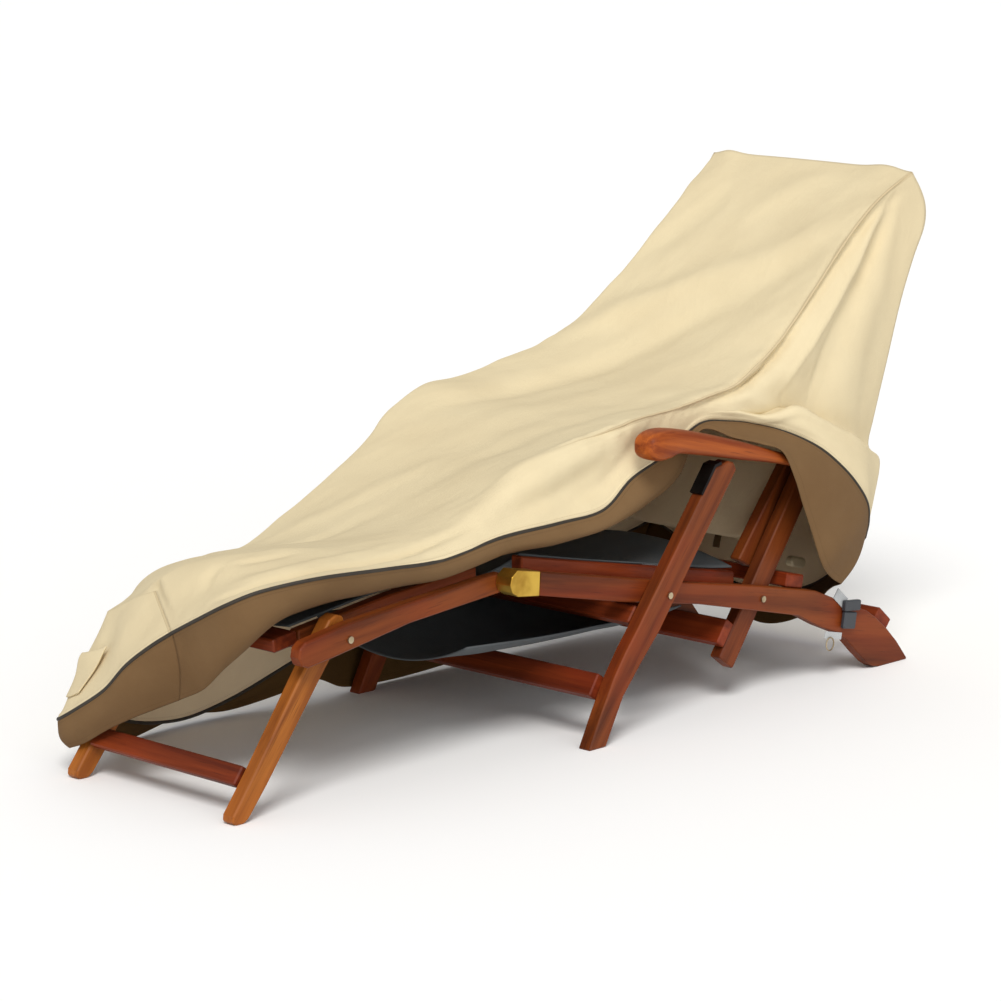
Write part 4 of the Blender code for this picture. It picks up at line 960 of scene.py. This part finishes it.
# Copies of the one wood, lighter or darker by how much light reaches each bar: painted light and shade, on
# top of small real differences between boards.
SHADED_WOOD = (colour(122, 60, 22), colour(72, 30, 10), colour(132, 50, 18))
RED_WOOD = (colour(128, 54, 22), colour(78, 27, 11), colour(138, 48, 20))
LIT_WOOD = (colour(170, 102, 38), colour(118, 62, 20), colour(150, 78, 26))
LIT_ARM_WOOD = (colour(178, 92, 34), colour(116, 48, 18), colour(148, 56, 22))
BARS = {  # finish: how far the grain climbs in degrees, its three colours, and the nodes that take it
    "wood of the rails": (-11, SHADED_WOOD, ("main_rail_near", "main_rail_far")),
    "wood of the seat rails": (-12, RED_WOOD, ("seat_rail_near", "seat_rail_far")),
    "wood of the front legs": (51, SHADED_WOOD, ("front_leg_near", "front_leg_far")),
    "wood of the rear legs": (54, SHADED_WOOD, ("rear_leg_near", "rear_leg_far")),
    "wood of the foot rails": (7, SHADED_WOOD, ("foot_rail_near", "foot_rail_far", "foot_inner_rail_near",
                                              "foot_inner_rail_far")),
    "wood of the foot legs": (52, LIT_WOOD, ("foot_leg_near", "foot_leg_far")),
    "wood of the back rails": (61, SHADED_WOOD, ("back_rail_near", "back_rail_far")),
    "wood of the cross bars": (None, RED_WOOD, (
        "front_stretcher_low", "front_stretcher_high", "rear_stretcher", "prop_bar", "tail_bar",
        "foot_stretcher", "foot_slat", "back_top_bar")),
}


def refinish(node, finish):
    """Gives a carried-over bar its material: only the slot changes, never the mesh."""
    for slot in bpy.data.objects[node].material_slots:
        slot.material = finish.material


for name, (lean, tones, nodes) in BARS.items():
    made = hardwood(name, lean or 0, *tones, across=lean is None)
    for node in nodes:
        refinish(node, made)
print("wood on", sum(len(nodes) for *_, nodes in BARS.values()), "bars")

# %% [markdown]
# ## Armrests
# The armrest is the one part of the chair that is shaped for the hand.  Its section is a superellipse,
# a rounded rectangle, carried along the arm and drawn in at the nose.

# %% Armrests
ARM = [  # x, underside, top, half width
    (0.1465, 0.503, 0.511, 0.008), (0.1495, 0.495, 0.519, 0.018), (0.158, 0.487, 0.528, 0.0245),
    (0.176, 0.4815, 0.534, 0.0283), (0.200, 0.4828, 0.535, 0.029), (0.226, 0.488, 0.5315, 0.029),
    (0.265, 0.4820, 0.524, 0.029), (0.330, 0.4695, 0.508, 0.029), (0.400, 0.4555, 0.489, 0.029),
    (0.490, 0.4385, 0.462, 0.029), (0.590, 0.4160, 0.4335, 0.029), (0.681, 0.3965, 0.409, 0.029)]
ARM_MIDDLE = 0.279       # distance of the arm's middle line from the chair's middle plane
SQUARENESS = 3.4         # 2 is an ellipse, and a large number is a rectangle


def arm(name, side, finish, fine=40):
    """Superellipse sections: y is the half width times the cosine to the power 2/n, z the half height
    times the sine to the same power."""
    rows = lay_at(ARM, np.linspace(0, 1, 90) ** 1.15)
    turn = np.linspace(0, 2 * np.pi, fine, endpoint=False)
    wide = np.sign(np.cos(turn)) * np.abs(np.cos(turn)) ** (2 / SQUARENESS)
    tall = np.sign(np.sin(turn)) * np.abs(np.sin(turn)) ** (2 / SQUARENESS)
    middle, half = (rows[:, 1] + rows[:, 2]) / 2, (rows[:, 2] - rows[:, 1]) / 2
    grid = np.stack([np.repeat(rows[:, :1], fine, axis=1), side * ARM_MIDDLE + rows[:, 3:] * wide,
                     middle[:, None] + half[:, None] * tall], axis=2)
    caps = [np.repeat(grid[k].mean(axis=0)[None, None], fine, axis=1) for k in (0, -1)]
    piece = grid_piece(name, np.concatenate([caps[0], grid, caps[1]]), [finish], wrap=True)
    weld(piece)
    return piece


arm_finish = hardwood("wood of the armrests", -14, *LIT_ARM_WOOD)
arms = {word: arm(f"armrest_{word}_wood", side, arm_finish) for side, word in ((-1, "near"), (1, "far"))}
print("arms", list(arms))

# %% [markdown]
# ## Metal, plastic and webbing
# Small parts each get a plain finish with wear in its roughness: brass hinge caps, steel screw heads, a
# black buckle, and grey webbing with its ribs.

# %% Small finishes
def plain_metal(name, tone, shade, low, high):
    finish = Finish(name, Metallic=1.0)
    rubbed = finish.noise(finish.place(), 24.0, 3.0, 0.5)
    finish.put(Base_Color=finish.mixed(rubbed.smooth(0.3, 0.8), tone, shade),
               Roughness=rubbed * (high - low) + low)
    return finish


BRASS = plain_metal("brass", colour(214, 176, 78), colour(158, 116, 40), 0.22, 0.5)
STEEL = plain_metal("screw steel", colour(196, 180, 150), colour(130, 112, 84), 0.25, 0.5)
IRON = plain_metal("blackened iron", colour(46, 44, 44), colour(26, 24, 24), 0.35, 0.6)
PLASTIC = Finish("buckle plastic", Specular_IOR_Level=0.5)
speckle = PLASTIC.noise(PLASTIC.place(), 900.0, 2.0)
PLASTIC.put(Base_Color=PLASTIC.mixed(speckle, colour(34, 36, 40), colour(58, 62, 68)),
            Roughness=speckle * 0.2 + 0.32, Normal=PLASTIC.bump(speckle, 0.0002, 0.3))
WEBBING = Finish("grey webbing", Roughness=0.8)
rib_wave = WEBBING.node("TexWave", {"wave_type": "BANDS", "bands_direction": "X"},
                        {"Vector": WEBBING.place((1, 1, 1), (0, 40, 0)), "Scale": 180.0, "Distortion": 0.4})
WEBBING.put(Base_Color=WEBBING.mixed(rib_wave, colour(150, 154, 156), colour(198, 200, 200)),
            Normal=WEBBING.bump(rib_wave, 0.0003, 0.5))
for nodes, made in (
        (("hinge_cap_near", "hinge_cap_far"), BRASS),
        (("leg_bolt_near", "leg_bolt_far", "rail_bolt_near", "rail_bolt_far", "foot_bolt_near",
          "foot_bolt_far", "cord_loop"), STEEL),
        (("front_bracket_near", "front_bracket_far"), IRON),
        (("buckle_socket", "buckle_plug"), PLASTIC),
        (("strap_upper", "strap_lower"), WEBBING)):
    for node in nodes:
        refinish(node, made)
print("small finishes on")

# %% [markdown]
# ## Slings
# The chair's seat is two pieces of dark canvas, one on the footrest and one on the seat.  A third dark
# sheet sagging under the seat is painted shade: it stands where there is only shadow under the chair.  A
# beige one, as pale as the cover's lining, runs up the back.  Each is a strip whose middle stands off its
# edges by a parabola: downwards on the seat, backwards on the back.

# %% Slings
SLINGS = {  # rows of x, z at the edges, z in the middle; half width
    "foot_sling": ([(-0.556, 0.286, 0.278), (-0.350, 0.314, 0.300), (-0.152, 0.331, 0.322)], 0.148),
    "seat_sling": ([(-0.080, 0.344, 0.270), (0.060, 0.3145, 0.262), (0.200, 0.2872, 0.264),
                    (0.320, 0.2640, 0.274), (0.420, 0.2450, 0.279), (0.480, 0.2370, 0.266)], 0.2060),
    # the under sling is a dark sheet standing in for the shade under the seat: painted shade
    "under_sling": ([(-0.190, 0.196, 0.148), (0.000, 0.184, 0.136), (0.180, 0.180, 0.132),
                     (0.360, 0.182, 0.130)], 0.190),
    "back_sling": ([(0.545, 0.272, 0.272), (0.700, 0.540, 0.540), (0.864, 0.838, 0.838)], 0.193),
}
BACK_SAG, BACK_SET = 0.020, 0.012      # the back sling sags back instead of down, behind its rails


def sling(name, rows, half, fine=(80, 44)):
    """A strip: its height is mixed from the edge to the middle by the square of the distance across."""
    share = np.linspace(0, 1, fine[0])
    run = lay_at(rows, share)
    across = np.linspace(-1, 1, fine[1])
    x = np.repeat(run[:, :1], fine[1], axis=1)
    if name == "back_sling":
        x = x + BACK_SAG * np.sin(np.pi * share)[:, None] * (1 - across[None] ** 2) + BACK_SET
    height = mix(run[:, 2:], run[:, 1:2], across[None] ** 2)
    grid = np.stack([x, np.tile(half * across, (fine[0], 1)), height], axis=2)
    girth = steps(grid, 1)
    edge = np.minimum(girth, girth[:, -1:] - girth)
    finishes = [CREAM_BACK] if name == "back_sling" else [SLATE]
    print(name, "%.3f square metres" % area_of(grid))
    return cloth(name + "_cloth", wavy(grid, 41, 0.0010, (0.10, 0.25)), finishes, 0.0028, hem=edge)


slings = {name: sling(name, rows, half) for name, (rows, half) in SLINGS.items()}

# %% [markdown]
# ## What hangs inside
# A drawstring lock and a ribbon tie hang inside the back of the cover.

# %% Ribbon tie and cord lock
hang = np.linspace(0.272, 0.180, 30)
leaning = 0.812 + 0.28 * (hang - hang[-1]) + 0.0015 * np.sin(hang * 90)
ribbon_grid = np.array([np.stack([leaning, hang * 0 + y, hang], axis=1)
                        for y in np.linspace(0.104, 0.120, 8)])
ribbon = cloth("inner_ribbon_cloth", ribbon_grid, [BARK, BARK_BACK], 0.0016)
LOCK = Finish("cream plastic", Roughness=0.5)
LOCK.put(Base_Color=LOCK.mixed(
    LOCK.noise(LOCK.place(), 40.0), colour(206, 190, 156), colour(184, 166, 130)))
refinish("cord_lock", LOCK)

# %% [markdown]
# ## Floor and light
# The floor is one very large pale sheet, so no horizon shows.  A broad sun from above the open side gives
# soft shadows, an even white sky fills them, and a weak low light reaches under the cloth.

# %% Floor
def add_floor(reach=120.0):
    mesh = bpy.data.meshes.new("studio floor")
    mesh.from_pydata([(-reach, -reach, 0), (reach, -reach, 0), (reach, reach, 0), (-reach, reach, 0)], [],
                     [(0, 1, 2, 3)])
    paper = Finish("floor paper", Roughness=0.95, Specular_IOR_Level=0.1)
    paper.put(Base_Color=paper.mixed(
        paper.noise(paper.place(), 0.8), (0.97, 0.97, 0.97, 1), (0.985, 0.985, 0.985, 1)))
    mesh.materials.append(paper.material)
    floor = bpy.data.objects.new("studio floor", mesh)
    bpy.context.scene.collection.objects.link(floor)


add_floor()

# %% Light
SUN_FROM = np.array([-0.52, -0.44, 0.73])      # where the light comes from
FILL_FROM = np.array([-0.35, -0.90, 0.20])     # a weak low light into the shade under the cloth
SUN_STRENGTH, SUN_SOFTNESS, SKY_STRENGTH = 2.18, 24.0, 0.50
FILL_STRENGTH, FILL_SOFTNESS = 0.80, 50.0


def add_light(name, kind, towards, strength, **settings):
    data = bpy.data.lights.new(name, kind)
    data.energy = strength
    for key, value in settings.items():
        setattr(data, key, value)
    lamp = bpy.data.objects.new(name, data)
    bpy.context.scene.collection.objects.link(lamp)
    back = towards / np.linalg.norm(towards)
    right = np.cross([0.0, 0.0, 1.0], back)
    right /= np.linalg.norm(right)
    lamp.matrix_world = placed(right, np.cross(back, right), back, towards * 4)


add_light("broad sun", "SUN", SUN_FROM, SUN_STRENGTH, angle=math.radians(SUN_SOFTNESS),
          color=(1.0, 0.985, 0.96))
add_light("low fill", "SUN", FILL_FROM, FILL_STRENGTH, angle=math.radians(FILL_SOFTNESS))
world = bpy.data.worlds.new("pale sky")
world.use_nodes = True
sky = world.node_tree.nodes["Background"]
sky.inputs["Color"].default_value = (1.0, 1.0, 1.0, 1.0)
sky.inputs["Strength"].default_value = SKY_STRENGTH
bpy.context.scene.world = world
bpy.context.scene.view_settings.view_transform = "Standard"

# %% [markdown]
# ## What stands for what
# Every new piece rides on the chair and hides the plain solid that it stands for.

# %% Riding and replacing
def stands_for(piece, slot, *nodes):
    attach(piece, "root")
    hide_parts(*nodes)


stands_for(cover, "cover_cloth", "top_panel", "near_side_panel", "far_side_panel")
stands_for(foot_panel, "cover_cloth", "foot_panel")
stands_for(back_panel, "cover_cloth", "back_panel")
stands_for(strip, "cover_cloth", "pull_strip")
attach(welt, "root")
stands_for(ribbon, "skirt_cloth", "inner_ribbon")
stands_for(piping, "piping", "piping_near", "piping_far", "piping_back")
for word, piece in skirts.items():
    stands_for(piece, "skirt_cloth", f"{word}_skirt")
for word, piece in arms.items():
    stands_for(piece, "hardwood", f"armrest_{word}")
for node, piece in slings.items():
    stands_for(piece, "sling_cloth", node)

# %% Done
print("pieces in place")
